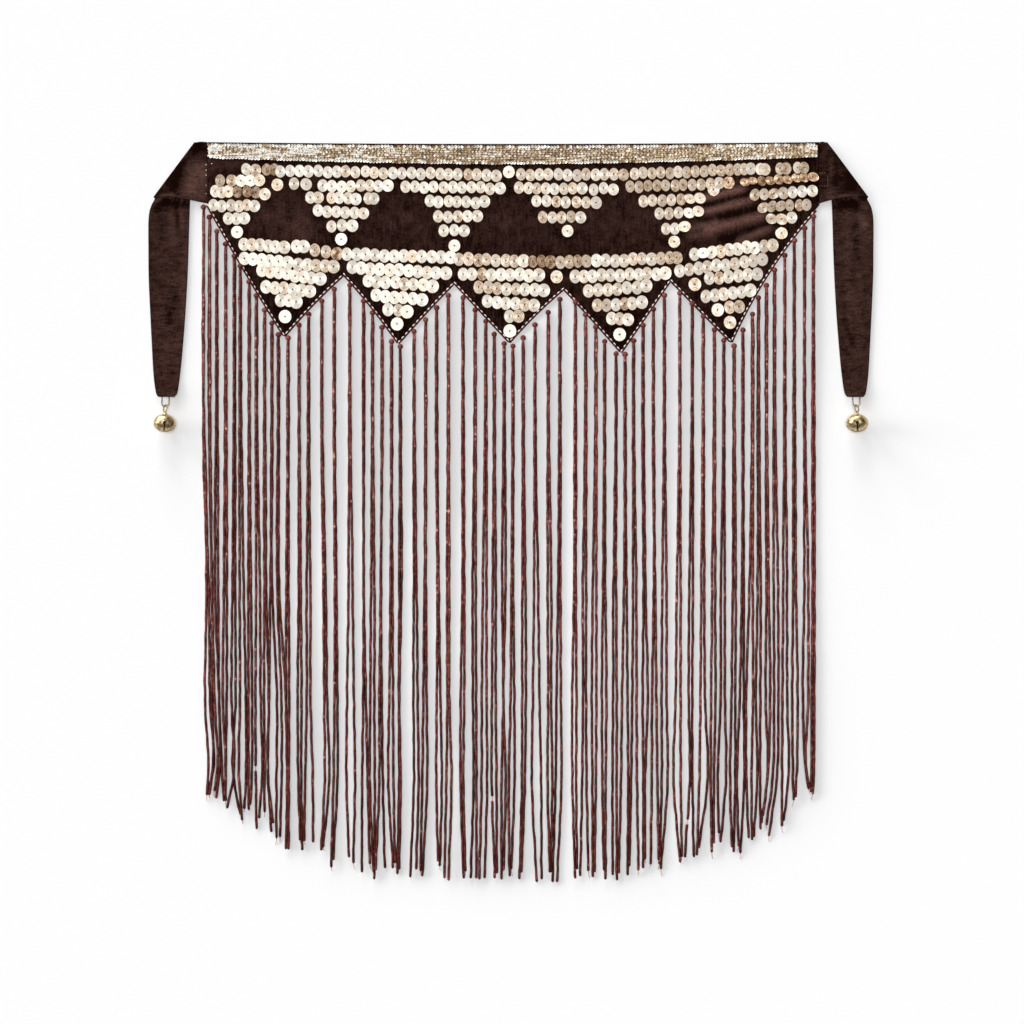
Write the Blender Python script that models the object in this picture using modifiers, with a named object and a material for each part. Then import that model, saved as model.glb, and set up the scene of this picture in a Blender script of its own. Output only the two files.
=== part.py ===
"""A belly dance hip belt, laid flat, front up.

A velvet panel with five pointed tabs along its hem carries a strip of sequin trim at its
waist edge. A folded velvet tie is sewn to each end, and a small brass bell hangs from each
tie. Strings of seed beads, two to a root, hang from a beaded edging along the hem.

Frame: metres, +Z up out of the cloth, +Y towards the waist edge, +X to the right. The
underside of the cloth lies at Z = 0, and X = Y = 0 is the middle of the belt's box.
"""

import math

import bmesh
import bpy
from mathutils import Matrix, Vector

MM = 0.001
SEAM_GAP = 0.3 * MM
SHARP_ANGLE = math.radians(40.0)

# Velvet panel
PANEL_THICKNESS = 2.0 * MM
PANEL_LEFT = -303.2 * MM
PANEL_RIGHT = 308.3 * MM
PANEL_END_BOTTOM = 306.7 * MM
WAIST_AT_ENDS = 369.6 * MM
WAIST_SAG = 1.8 * MM
LONG_SIDE_STEPS = 10
SHORT_SIDE_STEPS = 5
PANEL_TOP_ROWS = (0.0, 0.30, 0.62)
PANEL_LOWER_ROWS = (0.15, 0.35, 0.65, 1.0)

# Corners of the hem from left to right, and how far the side that leads to each bows out.
#   corner          x (mm)  y (mm)  bow (mm)
HEM_CORNERS = (
    ("left_corner", -302.4, 306.0, 0.0),
    ("tab_1_tip", -226.4, 176.5, 1.0),
    ("notch_1", -166.9, 238.0, -1.5),
    ("tab_2_tip", -112.4, 169.5, -1.5),
    ("notch_2", -56.6, 229.7, -0.6),
    ("tab_3_tip", -1.4, 170.5, 0.0),
    ("notch_3", 52.9, 223.8, -1.5),
    ("tab_4_tip", 110.1, 160.5, -0.5),
    ("notch_4", 159.4, 232.3, 0.0),
    ("tab_5_tip", 220.1, 170.5, 0.0),
    ("right_corner", 306.1, 304.0, -6.1),
)

# Soft folds where the right-hand end is drawn up towards its tie. They run parallel, and
# each is placed by its Y where it crosses FOLD_MIDDLE.
FOLD_MIDDLE = 225.0 * MM
FOLD_SLOPE = 0.295
FOLD_SPACING = 14.2 * MM
FOLD_FADE = 22.0 * MM
#   crossing_y  height  x_from  x_to (mm)
PANEL_FOLDS = (
    (315.8, 1.7, 176.0, 256.0),
    (301.6, 2.2, 170.0, 268.0),
    (287.4, 2.2, 172.0, 276.0),
    (273.2, 1.6, 190.0, 272.0),
)
FOLD_BAND_TOP = 323.0 * MM
FOLD_BAND_BOTTOM = 266.0 * MM
FOLD_BAND_ROWS = 8
FOLD_REGION = (158.0 * MM, 288.0 * MM)
LOWEST_ROW_MARGIN = 4.0 * MM
BAND_TOP_SHARE = 0.25
BAND_END_SHARE = 0.7

# Sequin trim
TRIM_THICKNESS = 1.0 * MM
TRIM_TOP_INSET = 2.0 * MM
TRIM_LEFT = -302.6 * MM
TRIM_RIGHT = 306.6 * MM
TRIM_WIDTH_LEFT = 13.6 * MM
TRIM_WIDTH_MIDDLE = 18.4 * MM
TRIM_WIDTH_RIGHT = 12.6 * MM
TRIM_COLUMNS = 36

# Ties: right-hand shape, mirrored for the left. Only the seam's place differs.
TIE_THICKNESS = 1.6 * MM
TIE_SEAM = {"left": 303.5 * MM, "right": 308.6 * MM}
TIE_COLUMNS = 8
TIE_RISE_END = 317.5 * MM
TIE_UPPER_REST = 3.5 * MM
TIE_UPPER_FOLD = 4.2 * MM
FOLD_ANGLES = (45.0, 0.0, -45.0, -90.0)

# Upper layer, from the seam to the fold: inner x is a share of the way to the fold.
#   inner_share  inner_y  outer_x  outer_y (mm)
TIE_UPPER_ROWS = (
    (0.0, 369.6, None, 308.4),
    (0.3, 369.9, 314.0, 310.3),
    (0.6, 369.9, 326.0, 313.2),
    (0.85, 369.6, 341.0, 313.2),
)
#   inner_x  inner_y  outer_x  outer_y (mm)
TIE_FOLD_LINE = (314.1, 368.8, 354.8, 309.6)

# Hanging layer, from the fold to the end, and the height of its middle.
#   inner_x  inner_y  outer_x  outer_y  height (mm)
TIE_HANGING_ROWS = (
    (315.6, 358.0, 359.4, 303.2, 0.8),
    (317.4, 347.0, 361.3, 290.0, 0.8),
    (320.5, 317.0, 362.1, 266.0, 0.8),
    (321.6, 287.0, 362.3, 242.0, 0.8),
    (322.3, 255.0, 361.5, 220.0, 0.8),
    (324.5, 208.0, 360.0, 190.0, 0.8),
    (327.6, 168.0, 358.6, 162.0, 0.8),
    (330.0, 142.0, 357.6, 142.0, 0.8),
    (331.4, 131.0, 356.6, 131.0, 1.2),
    (332.6, 121.5, 355.0, 121.5, 2.9),
    (334.6, 115.0, 353.2, 115.0, 4.6),
)

# Beaded fringe
STRIP_GAP = 0.55 * MM
STRIP_DEPTH = 2.6 * MM
STRIP_LOW = 0.4 * MM
STRIP_HIGH = 2.2 * MM
STRIP_START = -309.1 * MM
ROOT_WIDTH = 3.6 * MM
ROOT_BEAD_OFFSET = 4.6 * MM
ROOT_BEAD_WIDTH = 5.0 * MM
ROOT_BEAD_HEIGHT = 3.0 * MM
ROOT_BEAD_MIDDLE = 2.0 * MM
ROOT_BEAD_BASE_DROP = 2.6 * MM
STRAND_WIDTH = 2.1 * MM
STRAND_MIDDLE = 1.5 * MM
STRAND_HALF_PITCH = 1.33 * MM
STRAND_MIN_PITCH = 2.5 * MM

# Heights at which every strand is placed: the top one is below the closed pairs' own roots.
STRAND_TOP = 92.0 * MM
STRAND_LEVELS = (-88.0 * MM, -188.0 * MM, -268.0 * MM)

# One row for each root, left to right: its X, then for its left strand and its right strand
# the X at each level and the X and Y of the tip (mm).
#   root | left: level_1  level_2  level_3  tip_x  tip_y | right: the same
STRANDS = (
    (-307.0, -304.3, -305.6, -302.6, -303.9, -283, -301.7, -300.9, -299.5, -303.1, -280),
    (-301.1, -298.6, -298.5, -299.2, -301.7, -283, -298.6, -296.1, -294.5, -296.4, -279),
    (-293.8, -295.5, -291.5, -291.8, -294.6, -286, -292.4, -291.5, -288.0, -286.8, -289),
    (-285.0, -286.9, -287.7, -285.1, -285.9, -282, -283.9, -284.0, -285.1, -285.1, -289),
    (-276.2, -278.4, -279.1, -277.7, -283.3, -296, -275.4, -275.2, -276.9, -270.1, -303),
    (-270.3, -271.1, -270.6, -271.4, -268.3, -308, -266.8, -265.0, -264.9, -266.3, -297),
    (-261.5, -262.5, -262.3, -262.2, -262.1, -298, -259.6, -258.6, -259.1, -260.4, -293),
    (-254.2, -254.7, -255.3, -254.9, -254.3, -317, -250.7, -249.9, -248.6, -251.6, -306),
    (-246.1, -246.6, -246.6, -246.0, -246.3, -300, -244.1, -242.0, -242.5, -239.3, -320),
    (-238.8, -240.7, -241.6, -242.5, -237.5, -311, -238.1, -233.8, -234.3, -234.4, -326),
    (-232.2, -233.4, -229.4, -229.2, -230.9, -325, -230.9, -224.8, -223.6, -224.6, -337),
    (-222.6, -224.8, -224.8, -223.6, -223.8, -330, -221.8, -221.6, -221.9, -222.2, -337),
    (-211.6, -212.4, -213.0, -212.3, -210.4, -328, -209.7, -209.2, -209.4, -208.3, -338),
    (-202.1, -204.3, -204.0, -205.5, -206.5, -329, -200.2, -200.2, -197.9, -197.5, -330),
    (-188.9, -187.4, -186.5, -186.0, -189.3, -338, -184.8, -183.6, -181.5, -187.5, -335),
    (-176.4, -176.1, -176.2, -177.2, -179.5, -355, -174.1, -173.4, -173.3, -177.7, -348),
    (-161.0, -162.6, -163.7, -164.2, -161.7, -345, -157.9, -156.9, -155.7, -157.5, -351),
    (-147.1, -147.4, -147.6, -148.6, -148.9, -360, -146.8, -144.9, -143.2, -141.1, -352),
    (-138.3, -140.1, -140.5, -141.0, -137.3, -360, -136.1, -136.5, -136.0, -136.5, -367),
    (-128.7, -130.5, -131.5, -131.4, -135.2, -358, -129.6, -129.0, -128.0, -126.0, -356),
    (-119.2, -120.7, -121.6, -122.5, -117.6, -356, -118.1, -117.8, -117.3, -115.8, -351),
    (-110.4, -111.9, -112.0, -111.8, -113.5, -362, -109.2, -111.5, -110.2, -111.6, -357),
    (-96.7, -97.4, -97.4, -96.9, -100.5, -365, -93.8, -93.2, -92.2, -94.7, -357),
    (-85.2, -86.7, -87.6, -88.5, -90.4, -359, -84.6, -84.2, -83.6, -88.5, -364),
    (-74.2, -73.5, -74.1, -74.5, -72.8, -349, -72.0, -70.4, -69.1, -71.0, -354),
    (-62.5, -64.1, -63.6, -64.5, -66.5, -366, -61.4, -61.5, -59.3, -62.4, -368),
    (-47.8, -48.7, -50.2, -50.3, -47.2, -366, -46.4, -46.7, -47.5, -45.4, -359),
    (-35.8, -38.4, -38.0, -37.3, -40.2, -366, -35.1, -34.7, -34.4, -34.5, -366),
    (-25.1, -28.2, -29.1, -29.3, -31.6, -367, -24.4, -24.3, -23.8, -26.2, -366),
    (-16.6, -18.5, -19.0, -19.2, -16.0, -366, -14.9, -15.2, -14.4, -14.2, -361),
    (-6.7, -8.8, -7.6, -9.3, -9.3, -367, -5.5, -7.5, -5.2, -7.5, -358),
    (2.1, 0.2, -0.3, -2.1, -1.4, -364, 2.6, 3.4, 3.6, 0.4, -357),
    (12.3, 11.1, 11.2, 10.9, 8.7, -367, 14.9, 14.9, 13.9, 10.5, -360),
    (24.1, 22.7, 21.9, 20.9, 25.8, -369.9, 27.7, 28.6, 30.2, 30.6, -367),
    (37.3, 36.5, 37.2, 36.6, 39.0, -360, 40.6, 40.2, 41.4, 39.8, -360),
    (49.0, 46.9, 45.5, 44.7, 41.5, -369.9, 49.6, 50.0, 50.5, 46.0, -369.9),
    (64.4, 62.9, 61.2, 61.4, 64.2, -366, 65.0, 65.5, 65.2, 66.1, -357),
    (74.7, 71.7, 72.0, 71.2, 69.3, -364, 75.2, 75.1, 75.6, 77.4, -359),
    (84.9, 81.6, 80.8, 81.4, 81.8, -365, 85.4, 85.4, 84.9, 83.6, -360),
    (93.7, 91.6, 90.9, 91.4, 92.7, -358, 94.8, 95.4, 94.6, 94.5, -367),
    (105.1, 102.0, 102.0, 101.5, 101.8, -363, 105.5, 105.8, 105.6, 105.8, -368),
    (114.1, 112.5, 111.0, 110.0, 107.7, -361, 116.0, 116.6, 117.2, 116.5, -363),
    (122.6, 121.8, 121.2, 120.1, 118.4, -354, 125.6, 125.6, 125.9, 127.5, -358),
    (132.1, 132.5, 131.6, 132.3, 132.2, -356, 134.7, 136.7, 133.9, 134.0, -347),
    (142.4, 142.5, 141.0, 140.7, 139.6, -352, 144.5, 145.4, 146.3, 147.7, -348),
    (153.4, 151.1, 150.6, 150.7, 148.5, -352, 155.7, 155.6, 156.6, 149.8, -357),
    (168.8, 165.5, 164.5, 162.5, 169.1, -350, 169.7, 169.6, 169.7, 170.9, -345),
    (181.2, 178.0, 177.6, 178.6, 173.6, -345, 181.9, 181.2, 181.4, 182.7, -345),
    (192.2, 190.0, 189.3, 188.2, 185.8, -343, 193.4, 194.0, 196.5, 187.7, -336),
    (203.3, 200.7, 200.0, 199.6, 200.7, -340, 204.3, 204.3, 202.8, 202.5, -331),
    (212.8, 209.6, 209.5, 206.6, 207.7, -321, 213.9, 213.8, 214.7, 209.5, -330),
    (223.0, 221.4, 220.4, 218.9, 220.8, -335, 224.9, 224.2, 224.2, 222.6, -340),
    (231.9, 230.5, 228.6, 225.7, 227.5, -334, 232.9, 232.7, 233.2, 229.3, -341),
    (241.4, 238.0, 235.1, 235.4, 237.6, -326, 241.8, 241.9, 240.5, 240.9, -328),
    (247.3, 246.4, 244.8, 246.1, 242.7, -325, 249.7, 249.2, 248.9, 249.4, -317),
    (255.3, 255.1, 254.5, 256.0, 250.2, -311, 257.9, 258.9, 256.0, 251.6, -304),
    (263.4, 262.6, 262.9, 261.3, 255.3, -313, 267.1, 267.3, 265.6, 257.7, -324),
    (273.7, 271.9, 271.2, 270.8, 270.6, -314, 276.0, 276.1, 277.1, 272.4, -309),
    (283.2, 281.9, 281.0, 281.8, 282.3, -288, 285.0, 286.4, 285.1, 284.1, -285),
    (293.5, 293.0, 291.7, 296.0, 297.5, -277, 297.2, 297.0, 296.7, 298.3, -275),
    (302.3, 301.5, 300.5, 300.1, 299.7, -280, 303.4, 303.1, 302.3, 301.6, -282),
)

# Bells and their links, on the right-hand side
BELL_X = 345.0 * MM
BELL_CENTRE = Vector((0.0, 88.4, 10.8)) * MM
BELL_RADIUS = 10.9 * MM
BELL_HALF_HEIGHT = 8.5 * MM
BELL_WALL = 0.8 * MM
BELL_STEPS = 28
BELL_PROFILE_STEPS = 9
BELL_SLIT_WIDTH = 1.0 * MM
BELL_HOLE_RADIUS = 1.5 * MM
BELL_HOLE_BELOW = 2.6 * MM
BELL_NECK_RADIUS = 2.3 * MM
BELL_NECK_TOP_RADIUS = 1.85 * MM
CUTTER_MARGIN = 3.0 * MM
BELL_TURN = math.radians(15.0)
PEA_RADIUS = 2.7 * MM
PEA_GAP = 0.5 * MM
LINK_FOOT = Vector((0.0, 105.2, 5.6)) * MM
LINK_HEAD = Vector((0.0, 117.5, 2.2)) * MM
LINK_WIDTH = 7.0 * MM
LINK_WIRE = 1.1 * MM
LOOP_RADIUS = 3.6 * MM
LOOP_WIRE = 1.2 * MM
LOOP_FROM_LINK = 2.0 * MM
LOOP_TWIST = math.radians(52.0)

#   material       colour (linear)           roughness  metallic
FINISHES = {
    "velvet": ((0.020, 0.010, 0.009), 0.9, 0.0),
    "sequin_trim": ((0.62, 0.50, 0.33), 0.35, 0.8),
    "seed_beads": ((0.12, 0.035, 0.030), 0.3, 0.0),
    "brass": ((0.70, 0.52, 0.24), 0.25, 1.0),
    "steel": ((0.50, 0.50, 0.50), 0.3, 1.0),
}


# ---------------------------------------------------------------- scene and helpers

def clear_scene():
    for scene_object in list(bpy.data.objects):
        bpy.data.objects.remove(scene_object, do_unlink=True)


def make_collection(name):
    collection = bpy.data.collections.new(name)
    bpy.context.scene.collection.children.link(collection)
    return collection


def make_material(name, finish):
    colour, roughness, metallic = FINISHES[finish]
    material = bpy.data.materials.new(name)
    material.use_nodes = True
    shader = material.node_tree.nodes["Principled BSDF"]
    shader.inputs["Base Color"].default_value = (*colour, 1.0)
    shader.inputs["Roughness"].default_value = roughness
    shader.inputs["Metallic"].default_value = metallic
    return material


def add_object(name, data, collection, finish=None):
    new_object = bpy.data.objects.new(name, data)
    collection.objects.link(new_object)
    if finish:
        data.materials.append(make_material(name + "_" + finish, finish))
    return new_object


def mesh_from(bm, name):
    mesh = bpy.data.meshes.new(name)
    bm.to_mesh(mesh)
    bm.free()
    return mesh


def hang_on(pivot, piece):
    """Parent a moving piece to the empty on its hinge line, where it stands."""
    piece.parent = pivot
    piece.matrix_parent_inverse = Matrix.Translation(pivot.location).inverted()


def smooth(mesh):
    mesh.shade_smooth()
    mesh.set_sharp_from_angle(angle=SHARP_ANGLE)


def add_solidify(cloth, thickness):
    solidify = cloth.modifiers.new("wall", "SOLIDIFY")
    solidify.thickness = thickness
    solidify.offset = 0.0


def mix(start, end, share):
    return start + (end - start) * share


def ease(share):
    share = min(max(share, 0.0), 1.0)
    return share * share * (3.0 - 2.0 * share)


# ---------------------------------------------------------------- panel

def hem_side_point(side, share):
    """A point on one side of the hem, bowed between its two corners."""
    start = Vector(HEM_CORNERS[side][1:3]) * MM
    end = Vector(HEM_CORNERS[side + 1][1:3]) * MM
    bow = HEM_CORNERS[side + 1][3] * MM
    along = (end - start).normalized()
    outward = Vector((along.y, -along.x))
    return start.lerp(end, share) + outward * (4.0 * bow * share * (1.0 - share))


def hem_height(x):
    """The hem's Y at a given X."""
    corners = [corner[1] * MM for corner in HEM_CORNERS]
    if x <= corners[0]:
        return HEM_CORNERS[0][2] * MM
    side = max(index for index in range(len(corners) - 1) if corners[index] <= x)
    low, high = 0.0, 1.0
    for _ in range(40):
        middle = (low + high) / 2
        if hem_side_point(side, middle).x < x:
            low = middle
        else:
            high = middle
    return hem_side_point(side, low).y


def waist_height(x):
    """The waist edge's Y at a given X."""
    share = x / PANEL_RIGHT
    return WAIST_AT_ENDS - WAIST_SAG * max(0.0, 1.0 - share * share)


def fold_height(x, y):
    """How far the folds lift the cloth at a point."""
    crossing = y - FOLD_SLOPE * (x - FOLD_MIDDLE)
    lift = 0.0
    for crossing_y, height, x_from, x_to in PANEL_FOLDS:
        across = abs(crossing - crossing_y * MM) / FOLD_SPACING
        if across < 1.0:
            profile = 0.5 + 0.5 * math.cos(math.pi * across)
            taper = ease((x - x_from * MM) / FOLD_FADE) * ease((x_to * MM - x) / FOLD_FADE)
            lift += height * MM * profile * taper
    return lift


def row_heights(hem):
    """Y of every row of the panel's mesh above one hem point, from the waist down."""
    top = waist_height(hem.x)
    near_folds = ease((hem.x - FOLD_REGION[0]) / FOLD_FADE)
    shear = FOLD_SLOPE * (hem.x - FOLD_MIDDLE) * near_folds
    margin = hem.y + LOWEST_ROW_MARGIN
    bottom = max(FOLD_BAND_BOTTOM + shear, mix(margin, top, BAND_TOP_SHARE))
    band_top = min(FOLD_BAND_TOP + shear, mix(top, bottom, BAND_TOP_SHARE))
    band_top = max(band_top, mix(top, bottom, BAND_END_SHARE))
    rows = [mix(top, band_top, share) for share in PANEL_TOP_ROWS]
    for row in range(FOLD_BAND_ROWS + 1):
        rows.append(mix(band_top, bottom, row / FOLD_BAND_ROWS))
    return rows + [mix(bottom, hem.y, share) for share in PANEL_LOWER_ROWS]


def hem_columns():
    """Hem points from the left end of the panel to the right, corners included."""
    points = [Vector((PANEL_LEFT, PANEL_END_BOTTOM))]
    for side in range(len(HEM_CORNERS) - 1):
        is_long = side in (0, len(HEM_CORNERS) - 2)
        steps = LONG_SIDE_STEPS if is_long else SHORT_SIDE_STEPS
        points += [hem_side_point(side, step / steps) for step in range(steps)]
    points.append(hem_side_point(len(HEM_CORNERS) - 2, 1.0))
    points.append(Vector((PANEL_RIGHT, PANEL_END_BOTTOM)))
    return points


def make_panel(collection):
    columns = hem_columns()
    row_count = len(row_heights(columns[0]))
    bm = bmesh.new()
    bmesh.ops.create_grid(
        bm, x_segments=len(columns) - 1, y_segments=row_count - 1, size=0.5
    )
    for vert in bm.verts:
        hem = columns[round((vert.co.x + 0.5) * (len(columns) - 1))]
        row = round((0.5 - vert.co.y) * (row_count - 1))
        vert.co = (hem.x, row_heights(hem)[row], 0.0)
    folded = [
        edge for edge in bm.edges
        if all(FOLD_REGION[0] < v.co.x < FOLD_REGION[1] for v in edge.verts)
        and all(fold_height(v.co.x, v.co.y) > 0.0 for v in edge.verts)
    ]
    bmesh.ops.subdivide_edges(bm, edges=folded, cuts=1, use_grid_fill=True)
    for vert in bm.verts:
        vert.co.z = PANEL_THICKNESS / 2 + fold_height(vert.co.x, vert.co.y)
    panel = add_object("belt_panel", mesh_from(bm, "belt_panel"), collection, "velvet")
    add_solidify(panel, PANEL_THICKNESS)
    return panel


def make_trim(collection):
    """The strip of sequin trim, laid on the panel's own surface."""
    bm = bmesh.new()
    bmesh.ops.create_grid(bm, x_segments=TRIM_COLUMNS, y_segments=1, size=0.5)
    for vert in bm.verts:
        x = mix(TRIM_LEFT, TRIM_RIGHT, vert.co.x + 0.5)
        end_width = TRIM_WIDTH_LEFT if x < 0.0 else TRIM_WIDTH_RIGHT
        width = mix(TRIM_WIDTH_MIDDLE, end_width, abs(x / TRIM_RIGHT) ** 1.5)
        y = waist_height(x) - TRIM_TOP_INSET - (0.5 - vert.co.y) * width
        lift = PANEL_THICKNESS + SEAM_GAP + TRIM_THICKNESS / 2
        vert.co = (x, y, fold_height(x, y) + lift)
    trim = add_object("sequin_trim", mesh_from(bm, "sequin_trim"), collection, "sequin_trim")
    add_solidify(trim, TRIM_THICKNESS)
    return trim


# ---------------------------------------------------------------- ties

def tie_upper_height(x, seam):
    """Height of the upper layer's middle: level with the panel, then over the lower layer."""
    start = PANEL_THICKNESS / 2
    if x < TIE_RISE_END:
        return mix(start, TIE_UPPER_REST, ease((x - seam) / (TIE_RISE_END - seam)))
    share = (x - TIE_RISE_END) / (TIE_FOLD_LINE[2] * MM - TIE_RISE_END)
    return mix(TIE_UPPER_REST, TIE_UPPER_FOLD, min(share, 1.0))


def tie_rows(seam):
    """Rows of points across the ribbon, from its seam over the fold to its end."""
    fold_inner = Vector(TIE_FOLD_LINE[:2]) * MM
    fold_outer = Vector(TIE_FOLD_LINE[2:]) * MM
    along = (fold_outer - fold_inner).normalized()
    outward = Vector((-along.y, along.x))
    shares = [column / TIE_COLUMNS for column in range(TIE_COLUMNS + 1)]
    rows = []
    for inner_share, inner_y, outer_x, outer_y in TIE_UPPER_ROWS:
        inner = Vector((mix(seam, fold_inner.x, inner_share), inner_y * MM))
        outer = Vector((seam if outer_x is None else outer_x * MM, outer_y * MM))
        flat = [inner.lerp(outer, share) for share in shares]
        rows.append([Vector((p.x, p.y, tie_upper_height(p.x, seam))) for p in flat])
    low = TIE_HANGING_ROWS[0][4] * MM
    axis = [fold_inner.lerp(fold_outer, share) for share in shares]
    for angle in (90.0,) + FOLD_ANGLES:
        row = []
        for point in axis:
            top = tie_upper_height(point.x, seam)
            radius = (top - low) / 2
            flat = point + outward * (radius * math.cos(math.radians(angle)))
            height = (top + low) / 2 + radius * math.sin(math.radians(angle))
            row.append(Vector((flat.x, flat.y, height)))
        rows.append(row)
    for inner_x, inner_y, outer_x, outer_y, height in TIE_HANGING_ROWS:
        inner = Vector((inner_x, inner_y, height)) * MM
        outer = Vector((outer_x, outer_y, height)) * MM
        rows.append([inner.lerp(outer, share) for share in shares])
    return rows


def make_tie(side, collection):
    mirror = -1.0 if side == "left" else 1.0
    rows = tie_rows(TIE_SEAM[side])
    bm = bmesh.new()
    bmesh.ops.create_grid(bm, x_segments=TIE_COLUMNS, y_segments=len(rows) - 1, size=0.5)
    for vert in bm.verts:
        column = round((vert.co.x + 0.5) * TIE_COLUMNS)
        row = round((0.5 - vert.co.y) * (len(rows) - 1))
        point = rows[row][column]
        vert.co = (point.x * mirror, point.y, point.z)
    bmesh.ops.recalc_face_normals(bm, faces=bm.faces)
    name = "tie_" + side
    tie = add_object(name, mesh_from(bm, name), collection, "velvet")
    add_solidify(tie, TIE_THICKNESS)
    return tie


# ---------------------------------------------------------------- beaded fringe

def spaced(wanted, pitch):
    """The least movement that keeps each strand at least a pitch to the right of the last."""
    pools = []
    for index, value in enumerate(wanted):
        pools.append([value - index * pitch, 1])
        while len(pools) > 1 and pools[-2][0] > pools[-1][0]:
            value_b, count_b = pools.pop()
            value_a, count_a = pools.pop()
            count = count_a + count_b
            pools.append([(value_a * count_a + value_b * count_b) / count, count])
    placed = []
    for value, count in pools:
        placed += [value] * count
    return [value + index * pitch for index, value in enumerate(placed)]


def root_places():
    """Every root's X and the Y of its bead, with the hem side that carries it."""
    corners = [corner[1] * MM for corner in HEM_CORNERS[1:-1]]
    roots = []
    for row in STRANDS:
        x = row[0] * MM
        side = sum(corner <= x for corner in corners)
        slope = (hem_height(x + MM) - hem_height(x - MM)) / (2 * MM)
        bead_y = hem_height(x) - ROOT_BEAD_OFFSET * math.hypot(1.0, slope)
        roots.append((side, x, bead_y))
    return roots


def strand_paths():
    """Points down every strand, left to right, two strands to a root."""
    strands = []
    for row in STRANDS:
        for half, way in ((0, -1.0), (1, 1.0)):
            *levels, tip_x, tip_y = row[1 + 5 * half:6 + 5 * half]
            top = row[0] * MM + way * STRAND_HALF_PITCH
            places = [top] + [x * MM for x in levels] + [tip_x * MM]
            strands.append((places, [STRAND_TOP, *STRAND_LEVELS, tip_y * MM]))
    tracks = [
        spaced([places[level] for places, _ in strands], STRAND_MIN_PITCH)
        for level in range(len(STRAND_LEVELS) + 2)
    ]
    return [
        [Vector((track[index], y, STRAND_MIDDLE)) for track, y in zip(tracks, heights)]
        for index, (_, heights) in enumerate(strands)
    ]


def extrude_face(bm, face, place):
    """Extrude one face and put each of its new corners where place() says."""
    centre = face.calc_center_median()
    new_face = bmesh.ops.extrude_discrete_faces(bm, faces=[face])["faces"][0]
    for vert in new_face.verts:
        vert.co = place(vert.co - centre)
    return new_face


def level_section(centre, half_width, half_height):
    """A rectangle across a hanging piece, for extrude_face()."""
    def place(corner):
        return Vector((
            centre.x + math.copysign(half_width, corner.x),
            centre.y,
            centre.z + math.copysign(half_height, corner.z),
        ))
    return place


def strip_section(x):
    """The edging strip's section at a given X, as inner and outer Y."""
    inner = hem_height(x) - STRIP_GAP
    return inner, inner - STRIP_DEPTH


def make_strip(bm, stations):
    """The narrow strip that backs one tab's fringe, outside the cloth's edge."""
    inner, outer = strip_section(stations[0])
    corners = [
        (stations[0], inner, STRIP_LOW), (stations[0], inner, STRIP_HIGH),
        (stations[0], outer, STRIP_HIGH), (stations[0], outer, STRIP_LOW),
    ]
    start = bm.faces.new([bm.verts.new(corner) for corner in corners])
    end = bmesh.ops.duplicate(bm, geom=[start])["geom"]
    face = next(item for item in end if isinstance(item, bmesh.types.BMFace))
    for x in stations[1:]:
        inner, outer = strip_section(x)

        def place(corner, x=x, inner=inner, outer=outer):
            return Vector((
                x,
                inner if corner.y > 0.0 else outer,
                STRIP_HIGH if corner.z > 0.0 else STRIP_LOW,
            ))
        face = extrude_face(bm, face, place)
    bmesh.ops.remove_doubles(bm, verts=bm.verts, dist=0.01 * MM)
    bmesh.ops.recalc_face_normals(bm, faces=bm.faces)


def split_root(bm, face, x):
    """Cut a root bead's base in three and return the two faces that carry strands."""
    half_gap = STRAND_HALF_PITCH - STRAND_WIDTH / 2
    faces = [face]
    for cut_x in (x - half_gap, x + half_gap):
        edges = {edge for part in faces for edge in part.edges}
        verts = {vert for part in faces for vert in part.verts}
        cut = bmesh.ops.bisect_plane(
            bm, geom=faces + list(edges) + list(verts),
            plane_co=(cut_x, 0.0, 0.0), plane_no=(1.0, 0.0, 0.0), dist=0.001 * MM,
        )
        faces = [item for item in cut["geom"] if isinstance(item, bmesh.types.BMFace)]
    ordered = sorted(faces, key=lambda part: part.calc_center_median().x)
    return ordered[0], ordered[-1]


def make_fringe(tab, roots, paths, ends, collection):
    """One tab's fringe: the edging strip, its root beads and two strands to a root."""
    stations = {end for end in ends}
    stations.add(HEM_CORNERS[2 * tab + 1][1] * MM)
    if tab == 0:
        stations.add(HEM_CORNERS[0][1] * MM)
    for _, x, _ in roots:
        stations.update((x - ROOT_WIDTH / 2, x + ROOT_WIDTH / 2))
    bm = bmesh.new()
    make_strip(bm, sorted(stations))
    for index, (_, x, bead_y) in enumerate(roots):
        bm.normal_update()
        outer_faces = [face for face in bm.faces if face.normal.y < -0.3]
        face = min(outer_faces, key=lambda f: (f.calc_center_median() - Vector(
            (x, strip_section(x)[1], (STRIP_LOW + STRIP_HIGH) / 2))).length)
        bead = Vector((x, bead_y, ROOT_BEAD_MIDDLE))
        base = Vector((x, bead_y - ROOT_BEAD_BASE_DROP, STRAND_MIDDLE))
        base_half = STRAND_HALF_PITCH + STRAND_WIDTH / 2
        face = extrude_face(bm, face, level_section(
            bead, ROOT_BEAD_WIDTH / 2, ROOT_BEAD_HEIGHT / 2))
        face = extrude_face(bm, face, level_section(base, base_half, STRAND_WIDTH / 2))
        for half, strand_face in enumerate(split_root(bm, face, x)):
            for point in paths[2 * index + half]:
                section = level_section(point, STRAND_WIDTH / 2, STRAND_WIDTH / 2)
                strand_face = extrude_face(bm, strand_face, section)
    bmesh.ops.recalc_face_normals(bm, faces=bm.faces)
    name = "fringe_" + str(tab + 1)
    return add_object(name, mesh_from(bm, name), collection, "seed_beads")


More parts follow.
